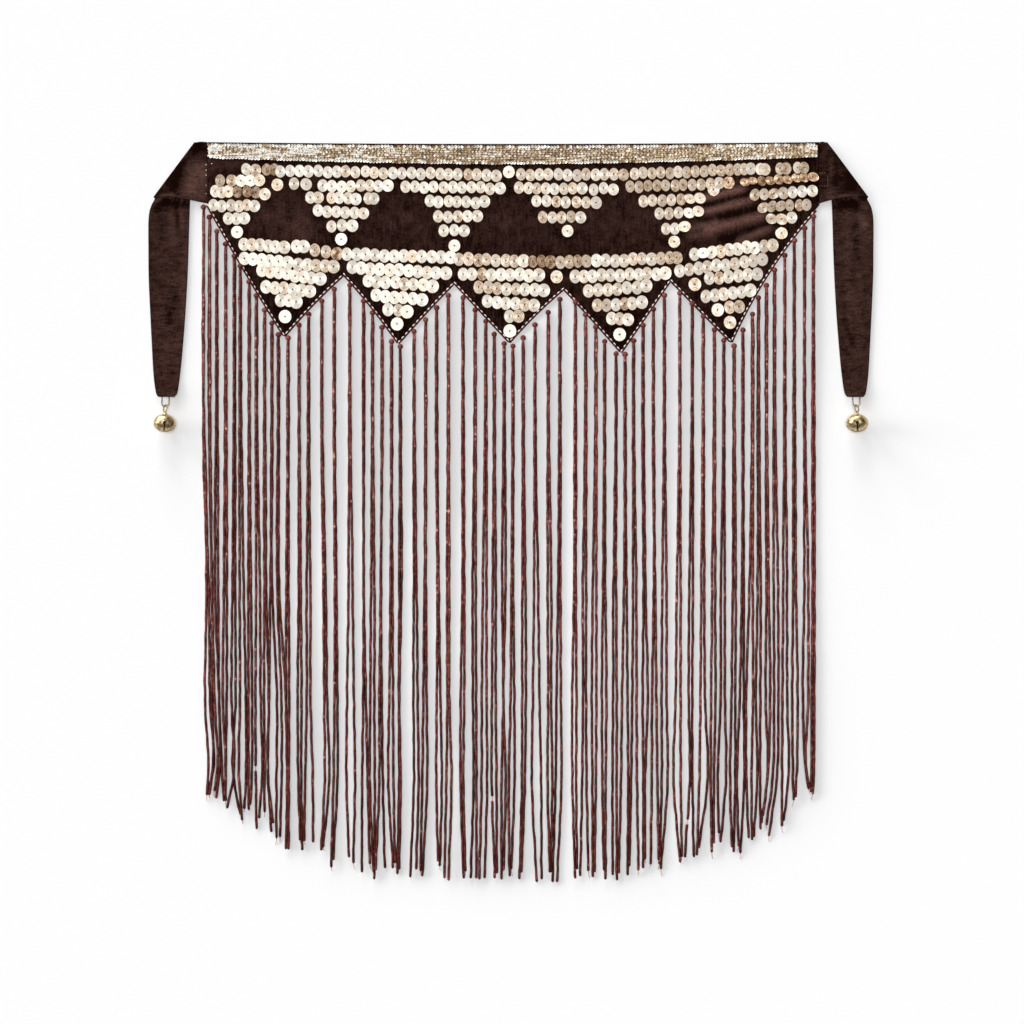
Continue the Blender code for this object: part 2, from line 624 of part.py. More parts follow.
def make_fringes(collection):
    roots = root_places()
    paths = strand_paths()
    notches = [HEM_CORNERS[corner][1] * MM for corner in (2, 4, 6, 8)]
    starts = [STRIP_START] + [x + SEAM_GAP / 2 for x in notches]
    stops = [x - SEAM_GAP / 2 for x in notches] + [HEM_CORNERS[-1][1] * MM]
    for tab in range(len(starts)):
        chosen = [index for index, root in enumerate(roots) if root[0] // 2 == tab]
        first, last = chosen[0], chosen[-1] + 1
        make_fringe(
            tab, roots[first:last], paths[2 * first:2 * last],
            (starts[tab], stops[tab]), collection,
        )


# ---------------------------------------------------------------- bells and links

def make_pivot(side, collection):
    """An empty where a bell's loop bears on its link; its X axis is the hinge line."""
    mirror = -1.0 if side == "left" else 1.0
    pivot = add_object("bell_pivot_" + side, None, collection)
    pivot.location = LINK_FOOT + Vector((BELL_X * mirror, 0.0, 0.0))
    pivot.empty_display_size = LOOP_RADIUS
    return pivot


def bell_frame(mirror):
    """Matrix of a bell: origin at its middle, +Z towards its loop, +Y up out of the cloth."""
    loopward = (LINK_FOOT - BELL_CENTRE).normalized()
    across = Vector((1.0, 0.0, 0.0))
    upward = loopward.cross(across)
    turn = Matrix((across, upward, loopward)).transposed().to_4x4()
    place = BELL_CENTRE + Vector((BELL_X * mirror, 0.0, 0.0))
    return Matrix.Translation(place) @ turn


def bell_profile():
    """Outer half-section from the neck down to the pole, then the cavity's, back up."""
    reach = (LINK_FOOT - BELL_CENTRE).length
    neck_top = reach - LOOP_FROM_LINK - LOOP_RADIUS - LOOP_WIRE / 2 - SEAM_GAP
    start = math.acos(BELL_NECK_RADIUS / BELL_RADIUS)
    outer = [(0.0, neck_top), (BELL_NECK_TOP_RADIUS, neck_top)]
    for step in range(BELL_PROFILE_STEPS + 1):
        angle = mix(start, -math.pi / 2, step / BELL_PROFILE_STEPS)
        outer.append((BELL_RADIUS * math.cos(angle), BELL_HALF_HEIGHT * math.sin(angle)))
    cavity = []
    for step in range(BELL_PROFILE_STEPS + 1):
        angle = mix(-math.pi / 2, math.pi / 2, step / BELL_PROFILE_STEPS)
        cavity.append((
            (BELL_RADIUS - BELL_WALL) * math.cos(angle),
            (BELL_HALF_HEIGHT - BELL_WALL) * math.sin(angle),
        ))
    return outer, cavity


def bell_cutters(side, matrix, collection):
    """Two crossed slits through the lower half, ending in four round holes."""
    slit_top = -BELL_HOLE_BELOW
    slit_bottom = -BELL_HALF_HEIGHT - CUTTER_MARGIN
    span = 2 * (BELL_RADIUS + CUTTER_MARGIN)
    cutters = []
    for turn in (0.0, math.pi / 2):
        rotation = Matrix.Rotation(turn, 4, "Z")
        slit = bmesh.new()
        bmesh.ops.create_cube(slit, size=1.0, matrix=rotation @ Matrix.Translation(
            (0.0, 0.0, (slit_top + slit_bottom) / 2)) @ Matrix.Diagonal(
            (BELL_SLIT_WIDTH, span, slit_top - slit_bottom, 1.0)))
        hole = bmesh.new()
        bmesh.ops.create_cone(
            hole, cap_ends=True, segments=12, radius1=BELL_HOLE_RADIUS,
            radius2=BELL_HOLE_RADIUS, depth=span, matrix=rotation @ Matrix.Translation(
                (0.0, 0.0, slit_top)) @ Matrix.Rotation(math.pi / 2, 4, "X"))
        for kind, bm in (("slit", slit), ("hole", hole)):
            name = "cut_" + kind + "_" + side + "_" + str(len(cutters))
            cutter = add_object(name, mesh_from(bm, name), collection)
            cutter.matrix_world = matrix
            cutter.hide_render = True
            cutter.display_type = "WIRE"
            cutters.append(cutter)
    return cutters


def make_bell(side, pivot, collection, cutter_collection):
    mirror = -1.0 if side == "left" else 1.0
    matrix = bell_frame(mirror) @ Matrix.Rotation(BELL_TURN * mirror, 4, "Z")
    bm = bmesh.new()
    for line in bell_profile():
        verts = [bm.verts.new((radius, 0.0, height)) for radius, height in line]
        for vert_a, vert_b in zip(verts, verts[1:]):
            bm.edges.new((vert_a, vert_b))
    name = "bell_" + side
    bell = add_object(name, mesh_from(bm, name), collection, "brass")
    hang_on(pivot, bell)
    bell.matrix_basis = matrix
    screw = bell.modifiers.new("turn", "SCREW")
    screw.axis = "Z"
    screw.steps = BELL_STEPS
    screw.render_steps = BELL_STEPS
    screw.use_merge_vertices = True
    screw.merge_threshold = 0.00001
    for cutter in bell_cutters(side, matrix, cutter_collection):
        boolean = bell.modifiers.new(cutter.name, "BOOLEAN")
        boolean.operation = "DIFFERENCE"
        boolean.solver = "EXACT"
        boolean.object = cutter
    return bell


def make_pea(side, pivot, collection):
    """The loose steel pea, at the lowest place inside its bell."""
    mirror = -1.0 if side == "left" else 1.0
    wall = BELL_RADIUS - BELL_WALL
    cap = BELL_HALF_HEIGHT - BELL_WALL
    axis = (LINK_FOOT - BELL_CENTRE).normalized()
    down = Vector((0.0, 0.0, -1.0))
    lowest = down * wall * wall - axis * (wall * wall - cap * cap) * axis.dot(down)
    lowest /= math.sqrt(lowest.dot(down))
    inward = PEA_RADIUS + PEA_GAP
    place = BELL_CENTRE + lowest * (1.0 - inward / lowest.length)
    bm = bmesh.new()
    bmesh.ops.create_icosphere(bm, subdivisions=2, radius=PEA_RADIUS)
    name = "bell_pea_" + side
    pea = add_object(name, mesh_from(bm, name), collection, "steel")
    smooth(pea.data)
    hang_on(pivot, pea)
    pea.location = place + Vector((BELL_X * mirror, 0.0, 0.0))
    return pea


def make_loop(side, pivot, collection):
    """The wire loop on a bell's neck."""
    mirror = -1.0 if side == "left" else 1.0
    reach = (LINK_FOOT - BELL_CENTRE).length - LOOP_FROM_LINK
    turn = Matrix.Rotation(LOOP_TWIST * mirror, 4, "Z") @ Matrix.Rotation(math.pi / 2, 4, "X")
    bpy.ops.mesh.primitive_torus_add(
        major_segments=16, minor_segments=6,
        major_radius=LOOP_RADIUS, minor_radius=LOOP_WIRE / 2,
    )
    torus = bpy.context.active_object
    name = "bell_loop_" + side
    loop = add_object(name, torus.data.copy(), collection, "brass")
    bpy.data.objects.remove(torus, do_unlink=True)
    smooth(loop.data)
    hang_on(pivot, loop)
    loop.matrix_basis = bell_frame(mirror) @ Matrix.Translation((0.0, 0.0, reach)) @ turn
    return loop


def make_link(side, collection):
    """The oval link that is sewn under a tie's end and carries its bell."""
    mirror = -1.0 if side == "left" else 1.0
    run = LINK_HEAD - LINK_FOOT
    along = run.normalized()
    half_straight = run.length / 2 - LINK_WIDTH / 2
    curve = bpy.data.curves.new("link", "CURVE")
    curve.dimensions = "3D"
    curve.bevel_depth = LINK_WIRE / 2
    curve.bevel_resolution = 1
    points = []
    for end_way, first_angle in ((1.0, 0.0), (-1.0, math.pi)):
        for step in range(7):
            angle = first_angle + math.pi * step / 6
            x = LINK_WIDTH / 2 * math.cos(angle)
            reach = end_way * half_straight + LINK_WIDTH / 2 * math.sin(angle)
            points.append(LINK_FOOT.lerp(LINK_HEAD, 0.5) + along * reach + Vector((x, 0, 0)))
    spline = curve.splines.new("POLY")
    spline.points.add(len(points) - 1)
    for spline_point, point in zip(spline.points, points):
        spline_point.co = (*point, 1.0)
    spline.use_cyclic_u = True
    name = "jump_link_" + side
    link = add_object(name, curve, collection, "brass")
    link.location = (BELL_X * mirror, 0.0, 0.0)
    return link


# ---------------------------------------------------------------- belt

def main():
    clear_scene()
    parts = make_collection("belly_dance_hip_belt")
    cutters = make_collection("cutters")
    make_panel(parts)
    make_trim(parts)
    make_fringes(parts)
    for side in ("left", "right"):
        make_tie(side, parts)
        make_link(side, parts)
        pivot = make_pivot(side, parts)
        make_loop(side, pivot, parts)
        make_bell(side, pivot, parts, cutters)
        make_pea(side, pivot, parts)


main()
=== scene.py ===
"""Dresses the belly dance hip belt: velvet, paillettes, sequin braid, beaded fringe and bells.

Metres, in the part's own frame: +Z up out of the cloth, +Y towards the waist edge.
"""

import math
import random

import bmesh
import bpy
import numpy as np
from mathutils import Matrix, Vector


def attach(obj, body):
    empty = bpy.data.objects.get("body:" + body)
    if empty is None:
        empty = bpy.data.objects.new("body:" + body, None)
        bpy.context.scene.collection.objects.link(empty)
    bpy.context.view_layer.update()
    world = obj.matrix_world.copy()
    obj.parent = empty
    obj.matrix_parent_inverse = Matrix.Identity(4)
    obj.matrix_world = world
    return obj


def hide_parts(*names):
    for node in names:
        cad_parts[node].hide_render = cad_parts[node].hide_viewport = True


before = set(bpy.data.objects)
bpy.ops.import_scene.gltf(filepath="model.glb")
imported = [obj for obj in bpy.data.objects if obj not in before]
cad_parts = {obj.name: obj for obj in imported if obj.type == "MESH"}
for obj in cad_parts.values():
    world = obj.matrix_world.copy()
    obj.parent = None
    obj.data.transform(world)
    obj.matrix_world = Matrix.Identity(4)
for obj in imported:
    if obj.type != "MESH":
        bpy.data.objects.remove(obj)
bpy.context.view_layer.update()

MM = 0.001
# A range for random angles and phases (radians).
ANY_ANGLE = (0.0, 6.28)
# Inside a sine, the number beside a length is the wave's radians per metre.

# ------------------------------------------------------------ sizes shared with the solids

PANEL_THICKNESS = 2.0 * MM
PANEL_LEFT = -303.2 * MM
PANEL_RIGHT = 308.3 * MM
PANEL_END_BOTTOM = 306.7 * MM
WAIST_AT_ENDS = 369.6 * MM
WAIST_SAG = 1.8 * MM

# Corners of the hem from left to right, and how far the side that leads to each bows out.
#   corner          x (mm)  y (mm)  bow (mm)
HEM_CORNERS = (
    ("left_corner", -302.4, 306.0, 0.0),
    ("tab_1_tip", -226.4, 176.5, 1.0),
    ("notch_1", -166.9, 238.0, -1.5),
    ("tab_2_tip", -112.4, 169.5, -1.5),
    ("notch_2", -56.6, 229.7, -0.6),
    ("tab_3_tip", -1.4, 170.5, 0.0),
    ("notch_3", 52.9, 223.8, -1.5),
    ("tab_4_tip", 110.1, 160.5, -0.5),
    ("notch_4", 159.4, 232.3, 0.0),
    ("tab_5_tip", 220.1, 170.5, 0.0),
    ("right_corner", 306.1, 304.0, -6.1),
)

# Soft folds where the right-hand end is drawn up towards its tie.
FOLD_MIDDLE = 225.0 * MM
FOLD_SLOPE = 0.295
FOLD_SPACING = 14.2 * MM
FOLD_FADE = 22.0 * MM
#   crossing_y  height  x_from  x_to (mm)
PANEL_FOLDS = (
    (315.8, 1.7, 176.0, 256.0),
    (301.6, 2.2, 170.0, 268.0),
    (287.4, 2.2, 172.0, 276.0),
    (273.2, 1.6, 190.0, 272.0),
)

TRIM_TOP_INSET = 2.0 * MM
TRIM_LEFT = -302.6 * MM
TRIM_RIGHT = 306.6 * MM
TRIM_WIDTH_LEFT = 13.6 * MM
TRIM_WIDTH_MIDDLE = 18.4 * MM
TRIM_WIDTH_RIGHT = 12.6 * MM
SEAM_GAP = 0.3 * MM

# Ties, as on the right-hand side.
TIE_THICKNESS = 1.6 * MM
TIE_SEAM = {"left": 303.5 * MM, "right": 308.6 * MM}
TIE_COLUMNS = 8
TIE_RISE_END = 317.5 * MM
TIE_UPPER_REST = 3.5 * MM
TIE_UPPER_FOLD = 4.2 * MM
FOLD_ANGLES = (45.0, 0.0, -45.0, -90.0)
FOLD_OUTER_SHARE = 0.965
#   inner_share  inner_y  outer_x  outer_y (mm)
TIE_UPPER_ROWS = (
    (0.0, 369.6, None, 308.4),
    (0.3, 369.9, 314.0, 310.3),
    (0.6, 369.9, 326.0, 313.2),
    (0.85, 369.4, 341.0, 315.4),
    (0.95, 369.0, 350.0, 315.0),
)
#   inner_x  inner_y  outer_x  outer_y (mm)
TIE_FOLD_LINE = (314.6, 368.4, 356.8, 311.2)
#   inner_x  inner_y  outer_x  outer_y  height (mm)
TIE_HANGING_ROWS = (
    (315.6, 358.0, 361.2, 304.0, 0.8),
    (317.4, 347.0, 362.6, 290.0, 0.8),
    (320.5, 317.0, 362.1, 266.0, 0.8),
    (321.6, 287.0, 362.3, 242.0, 0.8),
    (322.3, 255.0, 361.5, 220.0, 0.8),
    (324.5, 208.0, 360.0, 190.0, 0.8),
    (327.6, 168.0, 358.6, 162.0, 0.8),
    (330.0, 142.0, 357.6, 142.0, 0.8),
    (331.4, 131.0, 356.6, 131.0, 1.2),
    (332.6, 121.5, 355.0, 121.5, 2.9),
    (333.8, 117.0, 354.0, 117.0, 4.1),
    (336.2, 115.0, 351.8, 115.0, 4.6),
)

# Fringe
ROOT_BEAD_OFFSET = 4.6 * MM
# How far each root's bead sits above its even place along the hem (mm).
ROOT_BEAD_LIFTS = (
    3.0, 0.3, -0.8, 2.0, 5.2, 5.5, 4.5, 3.0, 2.0, 0.8, 0.0, 0.0, 0.0, 0.5, 0.0, -0.5,
    1.8, 2.5, 1.8, 0.0, -1.0, 0.5, 0.0, -1.0, -0.8, -0.8, 0.5, 1.0, 1.3, -2.5, -1.3,
    -1.8, -5.0, -4.2, -4.5, -2.0, 4.8, 3.5, 2.5, -2.0, -1.3, -0.8, 0.5, 2.0, 3.0, 1.0,
    2.3, 4.8, 3.0, 0.8, 0.0, 0.0, -3.3, -6.0, -0.3, -1.5, 1.0, 0.5, 2.3, 1.5, 2.3,
)
STRAND_HALF_PITCH = 1.33 * MM
# Heights at which every strand is placed.
STRAND_TOP = 92.0 * MM
STRAND_LEVELS = (-88.0 * MM, -188.0 * MM, -268.0 * MM)

# One row for each root, left to right: its X, then for its left strand and its right strand
# the X at each level and the X and Y of the tip (mm).
#   root | left: level_1  level_2  level_3  tip_x  tip_y | right: the same
STRANDS = (
    (-307.0, -304.3, -305.6, -302.6, -303.9, -283, -301.7, -300.9, -299.5, -303.1, -280),
    (-301.1, -298.6, -298.5, -299.2, -301.7, -283, -298.6, -296.1, -294.5, -296.4, -279),
    (-293.8, -295.5, -291.5, -291.8, -294.6, -286, -292.4, -291.5, -288.0, -286.8, -289),
    (-285.0, -286.9, -287.7, -285.1, -285.9, -282, -283.9, -284.0, -285.1, -285.1, -289),
    (-276.2, -278.4, -279.1, -277.7, -283.3, -296, -275.4, -275.2, -276.9, -270.1, -303),
    (-270.3, -271.1, -270.6, -271.4, -268.3, -308, -266.8, -265.0, -264.9, -266.3, -297),
    (-261.5, -262.5, -262.3, -262.2, -262.1, -298, -259.6, -258.6, -259.1, -260.4, -293),
    (-254.2, -254.7, -255.3, -254.9, -254.3, -317, -250.7, -249.9, -248.6, -251.6, -306),
    (-246.1, -246.6, -246.6, -246.0, -246.3, -300, -244.1, -242.0, -242.5, -239.3, -320),
    (-238.8, -240.7, -241.6, -242.5, -237.5, -311, -238.1, -233.8, -234.3, -234.4, -326),
    (-232.2, -233.4, -229.4, -229.2, -230.9, -325, -230.9, -224.8, -223.6, -224.6, -337),
    (-222.6, -224.8, -224.8, -223.6, -223.8, -330, -221.8, -221.6, -221.9, -222.2, -337),
    (-211.6, -212.4, -213.0, -212.3, -210.4, -328, -209.7, -209.2, -209.4, -208.3, -338),
    (-202.1, -204.3, -204.0, -205.5, -206.5, -329, -200.2, -200.2, -197.9, -197.5, -330),
    (-188.9, -187.4, -186.5, -186.0, -189.3, -338, -184.8, -183.6, -181.5, -187.5, -335),
    (-176.4, -176.1, -176.2, -177.2, -179.5, -355, -174.1, -173.4, -173.3, -177.7, -348),
    (-161.0, -162.6, -163.7, -164.2, -161.7, -345, -157.9, -156.9, -155.7, -157.5, -351),
    (-147.1, -147.4, -147.6, -148.6, -148.9, -360, -146.8, -144.9, -143.2, -141.1, -352),
    (-138.3, -140.1, -140.5, -141.0, -137.3, -360, -136.1, -136.5, -136.0, -136.5, -367),
    (-128.7, -130.5, -131.5, -131.4, -135.2, -358, -129.6, -129.0, -128.0, -126.0, -356),
    (-119.2, -120.7, -121.6, -122.5, -117.6, -356, -118.1, -117.8, -117.3, -115.8, -351),
    (-110.4, -111.9, -112.0, -111.8, -113.5, -362, -109.2, -111.5, -110.2, -111.6, -357),
    (-96.7, -97.4, -97.4, -96.9, -100.5, -365, -93.8, -93.2, -92.2, -94.7, -357),
    (-85.2, -86.7, -87.6, -88.5, -90.4, -359, -84.6, -84.2, -83.6, -88.5, -364),
    (-74.2, -73.5, -74.1, -74.5, -72.8, -349, -72.0, -70.4, -69.1, -71.0, -354),
    (-62.5, -64.1, -63.6, -64.5, -66.5, -366, -61.4, -61.5, -59.3, -62.4, -368),
    (-47.8, -48.7, -50.2, -50.3, -47.2, -366, -46.4, -46.7, -47.5, -45.4, -359),
    (-35.8, -38.4, -38.0, -37.3, -40.2, -366, -35.1, -34.7, -34.4, -34.5, -366),
    (-25.1, -28.2, -29.1, -29.3, -31.6, -367, -24.4, -24.3, -23.8, -26.2, -366),
    (-16.6, -18.5, -19.0, -19.2, -16.0, -366, -14.9, -15.2, -14.4, -14.2, -361),
    (-6.7, -8.8, -7.6, -9.3, -9.3, -367, -5.5, -7.5, -5.2, -7.5, -358),
    (2.1, 0.2, -0.3, -2.1, -1.4, -364, 2.6, 3.4, 3.6, 0.4, -357),
    (12.3, 11.1, 11.2, 10.9, 8.7, -367, 14.9, 14.9, 13.9, 10.5, -360),
    (24.1, 22.7, 21.9, 20.9, 25.8, -369.9, 27.7, 28.6, 30.2, 30.6, -367),
    (37.3, 36.5, 37.2, 36.6, 39.0, -360, 40.6, 40.2, 41.4, 39.8, -360),
    (49.0, 46.9, 45.5, 44.7, 41.5, -369.9, 49.6, 50.0, 50.5, 46.0, -369.9),
    (64.4, 62.9, 61.2, 61.4, 64.2, -366, 65.0, 65.5, 65.2, 66.1, -357),
    (74.7, 71.7, 72.0, 71.2, 69.3, -364, 75.2, 75.1, 75.6, 77.4, -359),
    (84.9, 81.6, 80.8, 81.4, 81.8, -365, 85.4, 85.4, 84.9, 83.6, -360),
    (93.7, 91.6, 90.9, 91.4, 92.7, -358, 94.8, 95.4, 94.6, 94.5, -367),
    (105.1, 102.0, 102.0, 101.5, 101.8, -363, 105.5, 105.8, 105.6, 105.8, -368),
    (114.1, 112.5, 111.0, 110.0, 107.7, -361, 116.0, 116.6, 117.2, 116.5, -363),
    (122.6, 121.8, 121.2, 120.1, 118.4, -354, 125.6, 125.6, 125.9, 127.5, -358),
    (132.1, 132.5, 131.6, 132.3, 132.2, -356, 134.7, 136.7, 133.9, 134.0, -347),
    (142.4, 142.5, 141.0, 140.7, 139.6, -352, 144.5, 145.4, 146.3, 147.7, -348),
    (153.4, 151.1, 150.6, 150.7, 148.5, -352, 155.7, 155.6, 156.6, 149.8, -357),
    (168.8, 165.5, 164.5, 162.5, 169.1, -350, 169.7, 169.6, 169.7, 170.9, -345),
    (181.2, 178.0, 177.6, 178.6, 173.6, -345, 181.9, 181.2, 181.4, 182.7, -345),
    (192.2, 190.0, 189.3, 188.2, 185.8, -343, 193.4, 194.0, 196.5, 187.7, -336),
    (203.3, 200.7, 200.0, 199.6, 200.7, -340, 204.3, 204.3, 202.8, 202.5, -331),
    (212.8, 209.6, 209.5, 206.6, 207.7, -321, 213.9, 213.8, 214.7, 209.5, -330),
    (223.0, 221.4, 220.4, 218.9, 220.8, -335, 224.9, 224.2, 224.2, 222.6, -340),
    (231.9, 230.5, 228.6, 225.7, 227.5, -334, 232.9, 232.7, 233.2, 229.3, -341),
    (241.4, 238.0, 235.1, 235.4, 237.6, -326, 241.8, 241.9, 240.5, 240.9, -328),
    (247.3, 246.4, 244.8, 246.1, 242.7, -325, 249.7, 249.2, 248.9, 249.4, -317),
    (255.3, 255.1, 254.5, 256.0, 250.2, -311, 257.9, 258.9, 256.0, 251.6, -304),
    (263.4, 262.6, 262.9, 261.3, 255.3, -313, 267.1, 267.3, 265.6, 257.7, -324),
    (273.7, 271.9, 271.2, 270.8, 270.6, -314, 276.0, 276.1, 277.1, 272.4, -309),
    (283.2, 281.9, 281.0, 281.8, 282.3, -288, 285.0, 286.4, 285.1, 284.1, -285),
    (293.5, 293.0, 291.7, 296.0, 297.5, -277, 297.2, 297.0, 296.7, 298.3, -275),
    (302.3, 301.5, 300.5, 300.1, 299.7, -280, 303.4, 303.1, 302.3, 301.6, -282),
)

# Bells
BELL_X = 345.0 * MM
BELL_CENTRE = Vector((0.0, 88.4, 10.8)) * MM
BELL_RADIUS = 10.9 * MM
BELL_HALF_HEIGHT = 8.5 * MM
BELL_WALL = 0.8 * MM
BELL_SLIT_WIDTH = 1.6 * MM
BELL_HOLE_RADIUS = 1.6 * MM
BELL_HOLE_BELOW = 2.6 * MM
BELL_NECK_RADIUS = 2.3 * MM
BELL_NECK_TOP_RADIUS = 1.85 * MM
BELL_STEPS_DOWN = 18
BELL_STEPS_AROUND = 48
# How far the bell turns about its own axis, and the loop about it (degrees).
BELL_TURN = -6.0
LINK_FOOT = Vector((0.0, 105.2, 5.6)) * MM
LINK_HEAD = Vector((0.0, 117.5, 2.2)) * MM
LINK_WIDTH = 7.0 * MM
LINK_WIRE = 1.1 * MM
LOOP_RADIUS = 3.6 * MM
LOOP_WIRE = 1.2 * MM
LOOP_FROM_LINK = 2.0 * MM
LOOP_STEPS = 40
LINK_END_STEPS = 16
LOOP_TWIST = 52.0

SIDES = {"left": -1.0, "right": 1.0}

# ------------------------------------------------------------ paillettes

PAILLETTE_RADIUS = 6.5 * MM
PAILLETTE_STEPS = 14
#   radius  height (mm)
PAILLETTE_SECTION = ((0.80, 0.04), (1.20, 0.30), (6.50, 0.16), (6.45, -0.08))
# A paillette leans further the darker its row is (degrees).
PAILLETTE_LEAN = 7.0
PAILLETTE_LEAN_DARKER = 30.0
# Within a row paillettes are squeezed together; the last one of a row lies open.
PAILLETTE_SQUEEZE = 0.84
LAST_PAILLETTE_SQUEEZE = 0.95
PAILLETTE_TONE_SHIFT = -0.27
PAILLETTE_CLEARANCE = 0.4 * MM
# A leaning paillette rises by this share of what its rim would need.
PAILLETTE_LIFT_SHARE = 0.8
# How unevenly they are sewn: place (mm), angles (degrees) and size; and how much their painted
# reflection varies in tone.
PAILLETTE_SHIFT_X = 0.35
PAILLETTE_SHIFT_Y = 0.4
PAILLETTE_ANGLE_SPREAD = 3.0
PAILLETTE_SIZE_SPREAD = 0.015
PAILLETTE_TONE_SPREAD = 0.11
# A paillette by itself lies flatter, and the tipped ones lean alike (degrees).
SINGLE_LEAN_SHARE = 0.3
TIPPED_LEAN = 8.0
TIPPED_SPREAD = 4.0
# Some paillettes are painted darker than their row, as painted reflection.
DARKER_PAILLETTE_SHARE = 0.2
DARKER_PAILLETTE_TONE = 0.16
UPPER_PAILLETTE_SIZE = 0.97
LOWER_PAILLETTE_SIZE = 1.05
# Rows of overlapping paillettes. Shade runs from 0, ivory, to 1, brown, as painted reflection:
# brown stands for a paillette that catches less light. A row that stands on a fold ends with
# how far it is tipped (degrees).
#   first_x  last_x  count  first_y  last_y (mm)  shade
UPPER_PAILLETTES = (
    (-264.1, -254.9, 2, 342.0, 342.0, 0.30), (-243.9, -236.6, 2, 342.0, 342.0, 0.75),
    (-230.0, -15.3, 24, 341.0, 336.2, 0.24), (-2.4, -2.4, 1, 339.9, 339.9, 0.12),
    (10.1, 112.2, 12, 336.5, 337.3, 0.32), (123.7, 210.0, 11, 337.6, 340.8, 0.42),
    (218.7, 239.9, 4, 341.4, 342.3, 0.42), (248.7, 253.9, 2, 342.4, 342.4, 0.25),
    (268.5, 274.4, 2, 343.0, 343.0, 0.40), (286.1, 292.7, 2, 343.3, 343.3, 0.42),
    (-290.1, -279.1, 2, 331.2, 331.2, 0.45), (-269.6, -260.8, 2, 331.2, 331.2, 0.08),
    (-251.2, -251.2, 1, 331.2, 331.2, 0.55), (-233.6, -233.6, 1, 327.3, 327.3, 0.45),
    (-216.5, -205.0, 2, 327.2, 327.2, 0.42), (-187.4, -122.9, 8, 325.5, 325.5, 0.16),
    (-105.3, -11.1, 11, 324.8, 323.0, 0.17), (8.2, 71.0, 8, 323.0, 322.8, 0.25),
    (82.7, 102.1, 3, 322.7, 322.7, 0.20), (118.9, 207.7, 11, 324.5, 327.7, 0.44),
    (203.1, 203.1, 1, 322.0, 322.0, 0.35), (217.6, 217.6, 1, 328.5, 328.5, 0.35),
    (232.6, 301.5, 9, 329.5, 334.0, 0.88, 34.0),
    (-295.2, -289.4, 2, 320.0, 320.0, 0.28), (-282.5, -282.5, 1, 320.0, 320.0, 0.20),
    (-272.5, -254.2, 3, 319.0, 319.0, 0.70), (-245.4, -245.4, 1, 318.0, 318.0, 0.40),
    (-200.9, -193.3, 2, 314.2, 314.2, 0.20), (-178.9, -155.1, 4, 313.0, 313.0, 0.25),
    (-142.7, -136.8, 2, 312.7, 312.7, 0.25), (-81.1, -25.8, 7, 309.8, 309.8, 0.22),
    (25.5, 84.9, 7, 310.0, 309.0, 0.30), (132.5, 187.8, 7, 310.4, 313.0, 0.30),
    (243.6, 271.5, 4, 316.7, 318.5, 0.35), (281.0, 300.8, 3, 319.0, 320.4, 0.12),
    (-296.7, -255.6, 6, 305.8, 305.8, 0.22), (-192.5, -147.1, 6, 301.2, 298.4, 0.22),
    (-72.5, -33.6, 5, 295.2, 295.2, 0.25), (32.1, 69.5, 5, 294.0, 294.0, 0.40),
    (148.2, 186.7, 5, 297.7, 299.4, 0.32), (251.2, 296.0, 6, 303.5, 307.2, 0.45),
    (-281.6, -266.6, 3, 293.0, 293.0, 0.18), (-179.3, -158.1, 3, 285.8, 285.8, 0.25),
    (-66.9, -46.4, 3, 281.1, 281.1, 0.22), (56.6, 56.6, 1, 280.0, 280.0, 0.25),
    (154.8, 173.2, 3, 283.0, 284.5, 0.30), (260.5, 281.0, 3, 292.2, 293.7, 0.28),
    (-273.7, -273.7, 1, 280.0, 280.0, 0.12), (-169.4, -169.4, 1, 272.0, 272.0, 0.12),
    (-56.6, -56.6, 1, 266.1, 266.1, 0.22), (162.9, 162.9, 1, 269.5, 269.5, 0.30),
    (269.7, 269.7, 1, 279.0, 279.0, 0.32),
)
